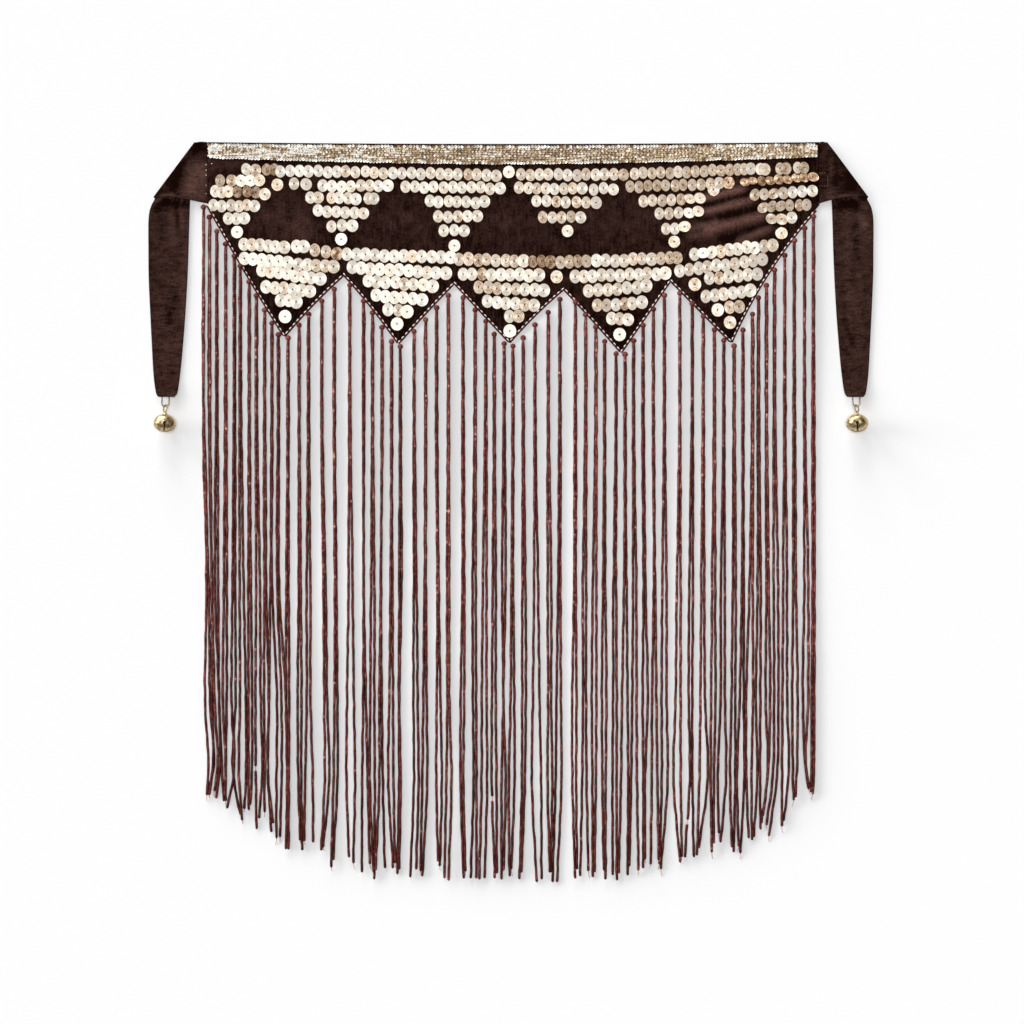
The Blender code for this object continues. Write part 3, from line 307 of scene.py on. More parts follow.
LOWER_PAILLETTES = (
    (-266.6, -226.3, 6, 267.3, 264.4, 0.25), (-213.8, -207.2, 2, 265.4, 264.5, 0.15),
    (-196.2, -173.5, 3, 262.0, 258.0, 0.42), (-163.9, -60.5, 12, 257.3, 254.0, 0.12),
    (-51.7, 13.1, 8, 252.0, 250.5, 0.32), (21.9, 39.0, 3, 250.3, 250.3, 0.72),
    (49.7, 75.4, 4, 250.0, 250.3, 0.45), (85.2, 140.2, 7, 250.8, 252.5, 0.22),
    (149.7, 165.8, 3, 253.5, 254.1, 0.50), (183.4, 261.2, 10, 257.0, 266.8, 0.30),
    (-265.9, -223.4, 6, 253.2, 249.0, 0.10), (-212.4, -176.9, 5, 247.5, 244.4, 0.25),
    (-158.8, -65.0, 11, 244.1, 238.2, 0.15), (-48.1, 27.7, 9, 237.5, 236.5, 0.16),
    (45.3, 45.3, 1, 235.0, 235.0, 0.40), (63.4, 154.1, 11, 234.6, 238.2, 0.20),
    (168.8, 250.9, 10, 240.9, 251.9, 0.28),
    (-248.3, -190.3, 8, 241.0, 232.7, 0.14), (-143.1, -78.6, 8, 231.0, 225.8, 0.14),
    (-32.4, 32.9, 8, 224.0, 221.4, 0.22), (77.6, 135.0, 7, 220.6, 225.8, 0.25),
    (183.9, 183.9, 1, 227.2, 227.2, 0.35), (198.6, 245.8, 6, 233.0, 237.5, 0.22),
    (-244.6, -200.3, 6, 224.7, 221.0, 0.20), (-134.9, -88.9, 6, 216.5, 211.8, 0.12),
    (-23.3, 22.6, 6, 210.0, 207.0, 0.20), (86.4, 130.6, 6, 206.3, 208.2, 0.28),
    (194.4, 239.2, 6, 215.0, 221.0, 0.22),
    (-229.9, -214.1, 3, 212.0, 209.6, 0.15), (-122.4, -102.9, 3, 202.3, 200.0, 0.15),
    (-1.2, 7.6, 2, 195.4, 195.4, 0.20), (100.1, 117.1, 3, 193.0, 193.0, 0.25),
    (206.6, 206.6, 1, 201.6, 201.6, 0.25), (219.4, 227.5, 2, 204.0, 205.2, 0.28),
    (-224.8, -224.8, 1, 195.4, 195.4, 0.12), (-113.8, -113.8, 1, 187.6, 187.6, 0.12),
    (-0.6, -0.6, 1, 181.0, 181.0, 0.18), (108.5, 108.5, 1, 177.4, 177.4, 0.22),
    (218.7, 218.7, 1, 189.8, 189.8, 0.25),
)

# ------------------------------------------------------------ painted sheen and shade on the velvet

# Strokes of painted sheen (+) and painted shade (-) on the panel: bright bands on the folds'
# slopes with darker ones between them, and broader light and dark patches.
#   x_from  y_from  x_to  y_to  half_width  strength (mm)
PANEL_STROKES = (
    (196.0, 314.5, 232.0, 322.5, 3.6, 0.66), (195.0, 300.0, 239.0, 312.0, 3.4, 0.72),
    (196.0, 281.5, 250.0, 296.0, 4.2, 0.68), (228.0, 271.0, 258.0, 283.0, 3.6, 0.60),
    (180.0, 283.0, 205.0, 290.0, 3.0, 0.45), (178.0, 276.0, 200.0, 276.0, 4.0, 0.30),
    (196.0, 307.0, 242.0, 318.5, 2.6, -0.16), (196.0, 291.0, 250.0, 303.5, 3.6, -0.18),
    (212.0, 271.0, 262.0, 289.5, 3.0, -0.16), (262.0, 283.0, 262.0, 268.0, 6.0, -0.08),
    (-245.0, 300.0, -215.0, 288.0, 18.0, 0.11), (-208.0, 285.0, -206.0, 275.0, 10.0, 0.08),
    (-128.0, 290.0, -92.0, 285.0, 17.0, 0.05), (-20.0, 295.0, 10.0, 285.0, 20.0, 0.05),
    (85.0, 295.0, 140.0, 285.0, 18.0, 0.06), (-250.0, 262.0, -200.0, 200.0, 10.0, -0.05),
    (-226.0, 176.0, -224.0, 205.0, 20.0, -0.08), (-112.0, 168.0, -112.0, 205.0, 22.0, -0.07),
    (-1.0, 168.0, -1.0, 205.0, 22.0, -0.06), (110.0, 160.0, 110.0, 200.0, 22.0, -0.08),
    (220.0, 168.0, 220.0, 205.0, 22.0, -0.07), (-300.0, 353.0, 300.0, 351.0, 5.0, -0.05),
    (-303.0, 352.0, -285.0, 351.0, 4.0, 0.15), (-296.0, 345.0, -270.0, 349.0, 4.0, 0.10),
    (300.0, 365.0, 303.0, 315.0, 10.0, -0.09), (-303.0, 320.0, -260.0, 265.0, 6.0, -0.05),
)
# Painted sheen (+) and painted shade (-) on each tie: darker parts and a sheen patch on the upper
# flap, a highlight along the fold's lip with shade beneath it, and light and dark streaks lower
# down.
TIE_STROKES = {
    "left": (
        (-315.0, 362.0, -350.0, 322.0, 11.0, -0.17), (-306.0, 365.0, -312.0, 366.0, 6.0, -0.16),
        (-314.0, 343.0, -318.0, 322.0, 9.0, 0.36), (-307.0, 345.0, -307.0, 318.0, 6.0, 0.22),
        (-322.0, 322.0, -320.0, 338.0, 4.0, 0.10), (-331.0, 345.0, -334.0, 318.0, 5.0, -0.14),
        (-328.0, 313.0, -339.0, 316.2, 1.8, 0.24), (-339.0, 316.2, -347.0, 315.8, 1.8, 0.26),
        (-347.0, 315.8, -356.0, 309.0, 1.8, 0.26), (-324.0, 308.5, -345.0, 309.0, 4.0, -0.30),
        (-345.0, 309.0, -354.0, 303.0, 3.0, -0.16), (-339.0, 300.0, -338.0, 262.0, 3.4, 0.12),
        (-329.0, 304.0, -328.0, 280.0, 3.0, 0.12), (-334.0, 305.0, -333.0, 285.0, 2.2, -0.14),
        (-350.0, 296.0, -349.0, 270.0, 4.0, -0.06), (-325.0, 265.0, -328.0, 190.0, 3.0, 0.12),
        (-341.0, 205.0, -341.0, 190.0, 3.0, -0.12), (-336.0, 218.0, -335.0, 206.0, 3.0, -0.10),
        (-340.0, 165.0, -342.0, 150.0, 12.0, 0.05),
    ),
    "right": (
        (312.0, 360.0, 345.0, 322.0, 16.0, -0.13), (322.0, 330.0, 345.0, 330.0, 9.0, -0.10),
        (320.0, 352.0, 319.0, 314.0, 2.2, 0.16), (328.0, 345.0, 332.0, 328.0, 3.5, 0.07),
        (319.0, 313.5, 334.0, 315.8, 1.8, 0.16), (334.0, 315.8, 344.0, 314.5, 1.8, 0.22),
        (344.0, 314.5, 355.0, 305.0, 2.0, 0.24), (324.0, 308.5, 343.0, 308.5, 4.0, -0.24),
        (343.0, 308.5, 350.0, 301.0, 3.0, -0.14), (348.0, 300.0, 352.0, 284.0, 3.0, 0.22),
        (354.0, 296.0, 357.0, 276.0, 3.0, 0.16), (336.0, 300.0, 337.0, 190.0, 4.0, 0.08),
        (343.0, 285.0, 344.0, 250.0, 3.0, -0.08), (333.5, 200.0, 334.5, 182.0, 3.0, -0.14),
        (340.0, 176.0, 341.0, 170.0, 3.5, -0.15), (348.0, 245.0, 347.0, 190.0, 3.5, 0.06),
    ),
}

# ------------------------------------------------------------ plain helpers

# Edges sharper than this stay sharp on sequins.
CRISP_ANGLE = math.radians(14.0)


def mix(start, end, share):
    return start + (end - start) * share


def ease(share):
    share = min(max(share, 0.0), 1.0)
    return share * share * (3.0 - 2.0 * share)


def show(name, mesh, material):
    """Put a finished mesh in the scene."""
    piece = bpy.data.objects.new(name, mesh)
    bpy.context.scene.collection.objects.link(piece)
    if not mesh.materials:
        mesh.materials.append(material)
    return piece


def mesh_from(bm, name):
    mesh = bpy.data.meshes.new(name)
    bm.to_mesh(mesh)
    bm.free()
    return mesh


def settle(piece):
    """Make a piece's modifiers permanent."""
    graph = bpy.context.evaluated_depsgraph_get()
    mesh = bpy.data.meshes.new_from_object(piece.evaluated_get(graph))
    piece.modifiers.clear()
    piece.data = mesh
    return mesh


def cloth_wall(piece, thickness, edge):
    """Give a sheet its wall, and round its cut edges."""
    wall = piece.modifiers.new("wall", "SOLIDIFY")
    wall.thickness = thickness
    wall.offset = 0.0
    rounding = piece.modifiers.new("edge", "BEVEL")
    rounding.width = edge
    rounding.segments = 2
    rounding.limit_method = "ANGLE"
    rounding.angle_limit = math.radians(60.0)
    rounding.harden_normals = False


def read(collection, field, width, kind=np.float64):
    values = np.empty(len(collection) * width, dtype=kind)
    collection.foreach_get(field, values)
    return values.reshape(-1, width) if width > 1 else values


def mesh_of(name, points, corners, starts, shades, uvs=None):
    """A smooth mesh from flat arrays, with the shade of each point stored on it."""
    mesh = bpy.data.meshes.new(name)
    mesh.vertices.add(len(points))
    mesh.vertices.foreach_set("co", points.ravel())
    mesh.loops.add(len(corners))
    mesh.loops.foreach_set("vertex_index", corners)
    mesh.polygons.add(len(starts))
    mesh.polygons.foreach_set("loop_start", starts)
    mesh.attributes.new("shade", "FLOAT", "POINT").data.foreach_set("value", shades)
    if uvs is not None:
        mesh.uv_layers.new(name="UVMap").data.foreach_set("uv", uvs)
    mesh.update(calc_edges=True)
    mesh.validate()
    mesh.shade_smooth()
    return mesh


def many(name, unit, places, shades, crisp=False):
    """One joined mesh with a copy of the unit at each place, each with its own shade."""
    count = len(places)
    points = read(unit.vertices, "co", 3)
    corners = read(unit.loops, "vertex_index", 1, np.int32)
    starts = read(unit.polygons, "loop_start", 1, np.int32)
    places = np.array([[list(row) for row in place] for place in places])
    placed = np.einsum("kij,nj->kni", places[:, :3, :3], points) + places[:, None, :3, 3]
    steps = np.arange(count, dtype=np.int32)[:, None]
    uvs = None
    if unit.uv_layers:
        uvs = np.tile(read(unit.uv_layers[0].data, "uv", 2), (count, 1)).ravel()
    mesh = mesh_of(
        name, placed.reshape(-1, 3), (corners + steps * len(points)).ravel(),
        (starts + steps * len(corners)).ravel(), np.repeat(np.array(shades), len(points)), uvs,
    )
    if crisp:
        mesh.set_sharp_from_angle(angle=CRISP_ANGLE)
    return mesh


def tubes(name, paths, sides):
    """One joined mesh of closed tubes. Each path is (points, radii, shades)."""
    points, corners, starts, shades = [], [], [], []
    base = 0
    loop_base = 0
    turn = np.linspace(0.0, 2.0 * math.pi, sides, endpoint=False)
    around = np.arange(sides)
    for centres, radii, tones in paths:
        rings = len(centres)
        along = np.gradient(centres, axis=0)
        along /= np.linalg.norm(along, axis=1)[:, None]
        side = np.cross(along, (0.0, 0.0, 1.0))
        side /= np.linalg.norm(side, axis=1)[:, None]
        up = np.cross(side, along)
        ring = (
            side[:, None, :] * np.cos(turn)[None, :, None]
            + up[:, None, :] * np.sin(turn)[None, :, None]
        )
        points.append((centres[:, None, :] + ring * radii[:, None, None]).reshape(-1, 3))
        shades.append(np.repeat(tones, sides))
        ring_base = base + np.arange(rings - 1)[:, None] * sides
        low = ring_base + around[None, :]
        low_next = ring_base + (around + 1)[None, :] % sides
        quads = np.stack([low, low_next, low_next + sides, low + sides], axis=-1)
        caps = [base + around[::-1], base + (rings - 1) * sides + around]
        corners += [quads.ravel(), *caps]
        quad_count = (rings - 1) * sides
        starts.append(loop_base + np.arange(quad_count) * 4)
        starts.append(loop_base + quad_count * 4 + np.array([0, sides]))
        loop_base += quad_count * 4 + 2 * sides
        base += rings * sides
    return mesh_of(
        name, np.concatenate(points), np.concatenate(corners).astype(np.int32),
        np.concatenate(starts).astype(np.int32), np.concatenate(shades),
    )


def rotation(degrees, axis):
    return Matrix.Rotation(math.radians(degrees), 4, axis)


def ball(name, segments, rings, radius=1.0):
    """A unit for many(): a ball of few faces."""
    bm = bmesh.new()
    bmesh.ops.create_uvsphere(bm, u_segments=segments, v_segments=rings, radius=radius)
    return mesh_from(bm, name)


def spin_line(bm, line, steps, closed=False):
    """Turn a line of (radius, height) points once about Z."""
    verts = [bm.verts.new((radius, 0.0, height)) for radius, height in line]
    followers = verts[1:] + verts[:1] if closed else verts[1:]
    edges = [bm.edges.new(pair) for pair in zip(verts, followers)]
    bmesh.ops.spin(
        bm, geom=verts + edges, cent=(0.0, 0.0, 0.0), axis=(0.0, 0.0, 1.0),
        angle=2.0 * math.pi, steps=steps, use_merge=True,
    )


# ------------------------------------------------------------ materials

# How many rings are pressed into a paillette, from its middle to its rim.
PRESSED_RINGS = 4.2
PLAIN_GRAIN_SCALE = 600.0


def set_inputs(node, **values):
    for key, value in values.items():
        node.inputs[key.replace("_", " ")].default_value = value


class Wiring:
    """Adds nodes to a material or a node group and joins them."""

    def __init__(self, tree):
        self.nodes = tree.nodes
        self.join = tree.links.new

    def add(self, kind, **values):
        node = self.nodes.new("ShaderNode" + kind)
        set_inputs(node, **values)
        return node

    def attribute(self, name):
        node = self.add("Attribute")
        node.attribute_name = name
        return node.outputs["Fac"]

    def noise(self, scale, detail=2.0, distortion=0.0, stretch=None):
        """Noise in the piece's own coordinates, finer along some axes if a stretch is given."""
        texture = self.add("TexNoise", Scale=scale, Detail=detail, Distortion=distortion)
        place = self.add("TexCoord").outputs["Object"]
        if stretch:
            mapping = self.add("Mapping", Scale=stretch)
            self.join(place, mapping.inputs["Vector"])
            place = mapping.outputs["Vector"]
        self.join(place, texture.inputs["Vector"])
        return texture.outputs["Fac"]

    def maths(self, kind, *values):
        node = self.add("Math")
        node.operation = kind
        for socket, value in zip(node.inputs, values):
            if isinstance(value, float):
                socket.default_value = value
            else:
                self.join(value, socket)
        return node.outputs[0]

    def spread(self, noise, low, high):
        """Noise, which mostly lies between 0.3 and 0.7, spread from low to high."""
        node = self.add("MapRange", From_Min=0.3, From_Max=0.7, To_Min=low, To_Max=high)
        self.join(noise, node.inputs["Value"])
        return node.outputs["Result"]

    def ramp(self, value, stops):
        """The colour for a value, from (position, linear colour) stops."""
        node = self.add("ValToRGB")
        elements = node.color_ramp.elements
        first, *middle, last = stops
        for element, (position, colour) in zip(elements, (first, last)):
            element.position = position
            element.color = (*colour, 1.0)
        for position, colour in middle:
            elements.new(position).color = (*colour, 1.0)
        self.join(value, node.inputs["Fac"])
        return node.outputs["Color"]

    def bump(self, height, strength, distance):
        node = self.add("Bump", Strength=strength, Distance=distance)
        self.join(height, node.inputs["Height"])
        return node.outputs["Normal"]


def finish(name, **values):
    """A new material with its wiring and its shader, whose own sockets take the values."""
    material = bpy.data.materials.new(name)
    material.use_nodes = True
    shader = material.node_tree.nodes["Principled BSDF"]
    set_inputs(shader, **values)
    return material, Wiring(material.node_tree), shader.inputs


def velvet_pile_group():
    """Mottled short pile: patches, streaks and grain, with painted sheen and painted shade laid on
    from stored strokes.
    """
    group = bpy.data.node_groups.new("velvet_pile", "ShaderNodeTree")
    for way, kind, names in (
        ("INPUT", "Color", ("Deep", "Lifted")), ("INPUT", "Float", ("Level", "Streaks", "Crush")),
        ("OUTPUT", "Color", ("Colour",)), ("OUTPUT", "Float", ("Height",)),
    ):
        for name in names:
            group.interface.new_socket(name, in_out=way, socket_type="NodeSocket" + kind)
    wiring = Wiring(group)
    maths = wiring.maths
    entry = group.nodes.new("NodeGroupInput").outputs
    leave = group.nodes.new("NodeGroupOutput").inputs

    def vary(total, noise, middle, size):
        return maths("MULTIPLY_ADD", maths("SUBTRACT", noise, middle), size, total)

    patches = wiring.noise(110.0, 3.0)
    grain = wiring.noise(480.0, 3.0)
    streaks = wiring.noise(1.0, 3.0, 0.6, (430.0, 80.0, 430.0))
    hairs = wiring.noise(1.0, 2.0, 0.6, (150.0, 560.0, 300.0))
    total = vary(entry["Level"], patches, 0.5, 0.38)
    total = vary(total, grain, 0.5, 0.36)
    total = vary(total, streaks, 0.48, entry["Streaks"])
    total = vary(total, hairs, 0.5, entry["Crush"])
    # Painted sheen and shade: the stored strokes, broken up by the hairs and grain, lighten or
    # darken the colour.
    sheen_breakup = maths("MULTIPLY_ADD", hairs, 1.1, maths("MULTIPLY_ADD", grain, 0.7, 0.1))
    total = maths("MULTIPLY_ADD", wiring.attribute("painted_sheen_shade"), sheen_breakup, total)
    blend = wiring.add("Mix")
    blend.data_type = "RGBA"
    for source, socket in ((total, 0), (entry["Deep"], 6), (entry["Lifted"], 7)):
        wiring.join(source, blend.inputs[socket])
    wiring.join(blend.outputs[2], leave["Colour"])
    wiring.join(maths("MULTIPLY_ADD", streaks, 0.5, grain), leave["Height"])
    return group


def velvet(name, group, level, streaks, crush):
    material, wiring, shader = finish(
        name, Roughness=0.95, Sheen_Weight=0.01, Sheen_Roughness=0.45,
        Sheen_Tint=(0.80, 0.50, 0.42, 1.0), Specular_IOR_Level=0.0,
    )
    pile = wiring.add("Group")
    pile.node_tree = group
    set_inputs(
        pile, Deep=(0.0080, 0.0026, 0.0018, 1.0), Lifted=(0.150, 0.074, 0.060, 1.0),
        Level=level, Streaks=streaks, Crush=crush,
    )
    wiring.join(wiring.bump(pile.outputs["Height"], 0.5, 0.0004), shader["Normal"])
    wiring.join(pile.outputs["Colour"], shader["Base Color"])
    return material


def paint_sheen_and_shade(mesh, strokes):
    """Store painted sheen (+) and painted shade (-) at each point, summed from soft strokes."""
    points = read(mesh.vertices, "co", 3)[:, :2]
    total = np.zeros(len(points))
    for x_from, y_from, x_to, y_to, half_width, strength in strokes:
        start = np.array((x_from, y_from)) * MM
        run = np.array((x_to, y_to)) * MM - start
        share = np.clip((points - start) @ run / (run @ run), 0.0, 1.0)
        away = np.linalg.norm(points - start - share[:, None] * run, axis=1)
        total += strength * np.exp(-((away / (half_width * MM)) ** 2))
    painted_sheen_shade = mesh.attributes.new("painted_sheen_shade", "FLOAT", "POINT")
    painted_sheen_shade.data.foreach_set("value", total)


def shaded(name, stops, grain_scale=0.0, grain=0.0, painted_rim_shade=0.0, **values):
    """A finish whose colour follows the shade that each copy carries."""
    material, wiring, shader = finish(name, **values)
    shade = wiring.attribute("shade")
    if grain:
        shade = wiring.maths("ADD", shade, wiring.spread(wiring.noise(grain_scale), -grain, grain))
    # Painted shade: the colour darkens towards the edges, where the surface turns away from view.
    if painted_rim_shade:
        facing = wiring.add("LayerWeight").outputs["Facing"]
        shade = wiring.maths("MULTIPLY_ADD", facing, -painted_rim_shade, shade)
    wiring.join(wiring.ramp(shade, stops), shader["Base Color"])
    return material


def pearl():
    """Pressed pearly plastic with rings round the hole, from ivory to brown as painted reflection,
    with painted shade in the pressed rings and along the rim.
    """
    material, wiring, shader = finish(
        "pearl_paillette", Roughness=0.22, Metallic=0.15, Specular_IOR_Level=0.38
    )
    maths, noise = wiring.maths, wiring.noise
    shade = wiring.attribute("shade")
    flat = wiring.add("UVMap")
    flat.uv_map = "UVMap"
    length = wiring.add("VectorMath")
    length.operation = "LENGTH"
    wiring.join(flat.outputs["UV"], length.inputs[0])
    away = length.outputs["Value"]
    uneven = maths("MULTIPLY_ADD", noise(420.0), 0.14, away)
    wave = maths("SINE", maths("MULTIPLY", uneven, 2.0 * math.pi * PRESSED_RINGS))
    line = maths("POWER", maths("MAXIMUM", wave, 0.0), 2.0)
    # The pressed rings are painted as darker lines, painted shade in their grooves, which shows
    # most near the hole.
    nearer = maths("MULTIPLY_ADD", away, -0.6, 1.0)
    groove_shade = maths("MULTIPLY", maths("MULTIPLY", line, nearer), noise(300.0))
    specks = maths("SUBTRACT", noise(760.0), 0.5)
    # Painted reflection: patches within each paillette, stronger the browner its tone.
    reflection_mottling = maths("MINIMUM", maths("MULTIPLY_ADD", shade, 2.6, 0.7), 1.7)
    reflection_patch = maths("MULTIPLY", maths("SUBTRACT", noise(210.0), 0.5), reflection_mottling)
    # Painted shade: a darker band along the rim.
    painted_rim_shade = maths("MAXIMUM", maths("MULTIPLY_ADD", away, 12.0, -11.1), 0.0)
    tone = maths("ADD", shade, reflection_patch)
    for effect, strength in ((specks, 0.7), (groove_shade, 1.7), (painted_rim_shade, 0.55)):
        tone = maths("MULTIPLY_ADD", effect, strength, tone)
    stops = (
        (0.0, (1.0, 0.955, 0.862)), (0.32, (0.94, 0.733, 0.527)),
        (0.64, (0.55, 0.328, 0.180)), (1.0, (0.11, 0.062, 0.034)),
    )
    wiring.join(wiring.ramp(tone, stops), shader["Base Color"])
    height = maths("MULTIPLY_ADD", noise(900.0), 0.5, wave)
    wiring.join(wiring.bump(height, 0.6, 0.00012), shader["Normal"])
    return material


def beads_glass():
    # The palest stop colours the painted glints; painted shade darkens the beads' edges.
    stops = (
        (0.0, (0.042, 0.0055, 0.0040)), (0.35, (0.108, 0.022, 0.0165)),
        (0.68, (0.26, 0.078, 0.062)), (1.0, (0.68, 0.36, 0.29)),
    )
    return shaded(
        "bead_glass", stops, 600.0, 0.12, 0.42, Roughness=0.38, Specular_IOR_Level=0.08
    )


def braid_sequins():
    stops = (
        (0.0, (1.0, 0.965, 0.88)), (0.3, (0.84, 0.67, 0.445)),
        (0.62, (0.40, 0.265, 0.145)), (1.0, (0.13, 0.070, 0.034)),
    )
    return shaded("braid_sequin", stops, Roughness=0.32, Metallic=0.2)


def brass(name, strength):
    """Worn brass, from brown hollows to pale polished places."""
    material, wiring, shader = finish(name, Metallic=1.0)
    wear = wiring.noise(230.0, 3.0, 1.2)
    stops = (
        (0.34, (0.26, 0.160, 0.065)), (0.48, (0.54, 0.395, 0.200)), (0.66, (0.84, 0.68, 0.42)),
    )
    stops = [(at, tuple(channel * strength for channel in colour)) for at, colour in stops]
    wiring.join(wiring.ramp(wear, stops), shader["Base Color"])
    wiring.join(wiring.spread(wear, 0.30, 0.46), shader["Roughness"])
    return material


def plain(name, colour, roughness, metallic=0.0, grain=0.25):
    """A finish of one colour, made a little uneven by fine grain."""
    material, wiring, shader = finish(name, Roughness=roughness, Metallic=metallic)
    dark = tuple(channel * (1.0 - grain) for channel in colour)
    light = tuple(min(channel * (1.0 + grain), 1.0) for channel in colour)
    shade = wiring.ramp(wiring.noise(PLAIN_GRAIN_SCALE), ((0.3, dark), (0.7, light)))
    wiring.join(shade, shader["Base Color"])
    return material


# ------------------------------------------------------------ panel

def hem_side_point(side, share):
    start = Vector(HEM_CORNERS[side][1:3]) * MM
    end = Vector(HEM_CORNERS[side + 1][1:3]) * MM
    bow = HEM_CORNERS[side + 1][3] * MM
    along = (end - start).normalized()
    outward = Vector((along.y, -along.x))
    return start.lerp(end, share) + outward * (4.0 * bow * share * (1.0 - share))


def hem_height(x):
    corners = [corner[1] * MM for corner in HEM_CORNERS]
    if x <= corners[0]:
        return HEM_CORNERS[0][2] * MM
    side = max(index for index in range(len(corners) - 1) if corners[index] <= x)
    low, high = 0.0, 1.0
    for _ in range(30):
        middle = (low + high) / 2
        if hem_side_point(side, middle).x < x:
            low = middle
        else:
            high = middle
    return hem_side_point(side, low).y


def waist_height(x):
    share = x / PANEL_RIGHT
    return WAIST_AT_ENDS - WAIST_SAG * max(0.0, 1.0 - share * share)


def fold_height(x, y):
    crossing = y - FOLD_SLOPE * (x - FOLD_MIDDLE)
    lift = 0.0
    for crossing_y, height, x_from, x_to in PANEL_FOLDS:
        across = abs(crossing - crossing_y * MM) / FOLD_SPACING
        if across < 1.0:
            profile = 0.5 + 0.5 * math.cos(math.pi * across)
            taper = ease((x - x_from * MM) / FOLD_FADE) * ease((x_to * MM - x) / FOLD_FADE)
            lift += height * MM * profile * taper
    return lift


LONG_SIDE_STEPS = 44
SHORT_SIDE_STEPS = 20
PANEL_ROWS = 56
PANEL_EDGE = 0.7 * MM
SWELL = 0.25 * MM


def swell(x, y):
    """Slight unevenness of cloth that lies by itself."""
    wave = math.sin(x * 95.0 + 2.0 * math.sin(y * 41.0)) * math.sin(y * 78.0 + x * 23.0)
    return SWELL * (1.0 + wave)


def make_panel(material):
    columns = [Vector((PANEL_LEFT, PANEL_END_BOTTOM))]
    last_side = len(HEM_CORNERS) - 2
    for side in range(last_side + 1):
        steps = LONG_SIDE_STEPS if side in (0, last_side) else SHORT_SIDE_STEPS
        columns += [hem_side_point(side, step / steps) for step in range(steps)]
    columns.append(hem_side_point(last_side, 1.0))
    columns.append(Vector((PANEL_RIGHT, PANEL_END_BOTTOM)))
    bm = bmesh.new()
    bmesh.ops.create_grid(bm, x_segments=len(columns) - 1, y_segments=PANEL_ROWS, size=0.5)
    for vert in bm.verts:
        hem = columns[round((vert.co.x + 0.5) * (len(columns) - 1))]
        share = 0.5 - vert.co.y
        y = mix(waist_height(hem.x), hem.y, share)
        lift = fold_height(hem.x, y) + swell(hem.x, y) * math.sin(math.pi * share)
        vert.co = (hem.x, y, PANEL_THICKNESS / 2 + lift)
    panel = show("velvet_panel", mesh_from(bm, "velvet_panel"), material)
    panel.data.shade_smooth()
    paint_sheen_and_shade(panel.data, PANEL_STROKES)
    cloth_wall(panel, PANEL_THICKNESS, PANEL_EDGE)
    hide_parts("belt_panel")
    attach(panel, "belt")
    return panel


# ------------------------------------------------------------ ties

TIE_EDGE = 0.55 * MM
TIE_RIPPLE = 0.22 * MM


def tie_upper_height(x, seam):
    start = PANEL_THICKNESS / 2
    if x < TIE_RISE_END:
        return mix(start, TIE_UPPER_REST, ease((x - seam) / (TIE_RISE_END - seam)))
    share = (x - TIE_RISE_END) / (TIE_FOLD_LINE[2] * MM - TIE_RISE_END)
    return mix(TIE_UPPER_REST, TIE_UPPER_FOLD, min(share, 1.0))


def tie_rows(seam):
    """Rows of points across the ribbon, from its seam over the fold to its end."""
    fold_inner = Vector(TIE_FOLD_LINE[:2]) * MM
    fold_outer = Vector(TIE_FOLD_LINE[2:]) * MM
    along = (fold_outer - fold_inner).normalized()
    outward = Vector((-along.y, along.x))
    shares = [column / TIE_COLUMNS for column in range(TIE_COLUMNS + 1)]
    rows = []
    for inner_share, inner_y, outer_x, outer_y in TIE_UPPER_ROWS:
        inner = Vector((mix(seam, fold_inner.x, inner_share), inner_y * MM))
        outer = Vector((seam if outer_x is None else outer_x * MM, outer_y * MM))
        flat = [inner.lerp(outer, share) for share in shares]
        rows.append([Vector((p.x, p.y, tie_upper_height(p.x, seam))) for p in flat])
    low = TIE_HANGING_ROWS[0][4] * MM
    axis = [fold_inner.lerp(fold_outer, min(share, FOLD_OUTER_SHARE)) for share in shares]
    for angle in FOLD_ANGLES:
        row = []
        for point in axis:
            top = tie_upper_height(point.x, seam)
            radius = (top - low) / 2
            flat = point + outward * (radius * math.cos(math.radians(angle)))
            height = (top + low) / 2 + radius * math.sin(math.radians(angle))
            row.append(Vector((flat.x, flat.y, height)))
        rows.append(row)
    for inner_x, inner_y, outer_x, outer_y, height in TIE_HANGING_ROWS:
        inner = Vector((inner_x, inner_y, height)) * MM
        outer = Vector((outer_x, outer_y, height)) * MM
        rows.append([inner.lerp(outer, share) for share in shares])
    return rows


def make_tie(side, material):
    rows = tie_rows(TIE_SEAM[side])
    bm = bmesh.new()
    bmesh.ops.create_grid(bm, x_segments=TIE_COLUMNS, y_segments=len(rows) - 1, size=0.5)
    for vert in bm.verts:
        column = round((vert.co.x + 0.5) * TIE_COLUMNS)
        row = round((0.5 - vert.co.y) * (len(rows) - 1))
        point = rows[row][column]
        vert.co = (point.x * SIDES[side], point.y, point.z)
    bmesh.ops.recalc_face_normals(bm, faces=bm.faces)
    tie = show("velvet_tie_" + side, mesh_from(bm, "velvet_tie_" + side), material)
    finer = tie.modifiers.new("finer", "SUBSURF")
    finer.levels = 2
    finer.render_levels = 2
    finer.boundary_smooth = "PRESERVE_CORNERS"
    mesh = settle(tie)
    for vert in mesh.vertices:
        x, y, _ = vert.co
        ripple = math.sin(abs(x) * 310.0 + 1.5 * math.sin(y * 33.0)) * math.sin(y * 37.0)
        vert.co.z += TIE_RIPPLE * (1.0 + ripple) * 0.5
    mesh.shade_smooth()
    paint_sheen_and_shade(mesh, TIE_STROKES[side])
    cloth_wall(tie, TIE_THICKNESS, TIE_EDGE)
    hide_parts("tie_" + side)
    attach(tie, "belt")
    return tie


# ------------------------------------------------------------ sequin braid

BRAID_ROWS = 8
BRAID_PITCH = 1.75 * MM
BRAID_BORDER_PITCH = 3.2 * MM
BRAID_BORDER_SIZE = 1.5
# How far sequins lean, in degrees.
BRAID_LEAN = 24.0
BRAID_BORDER_LEAN = 4.0
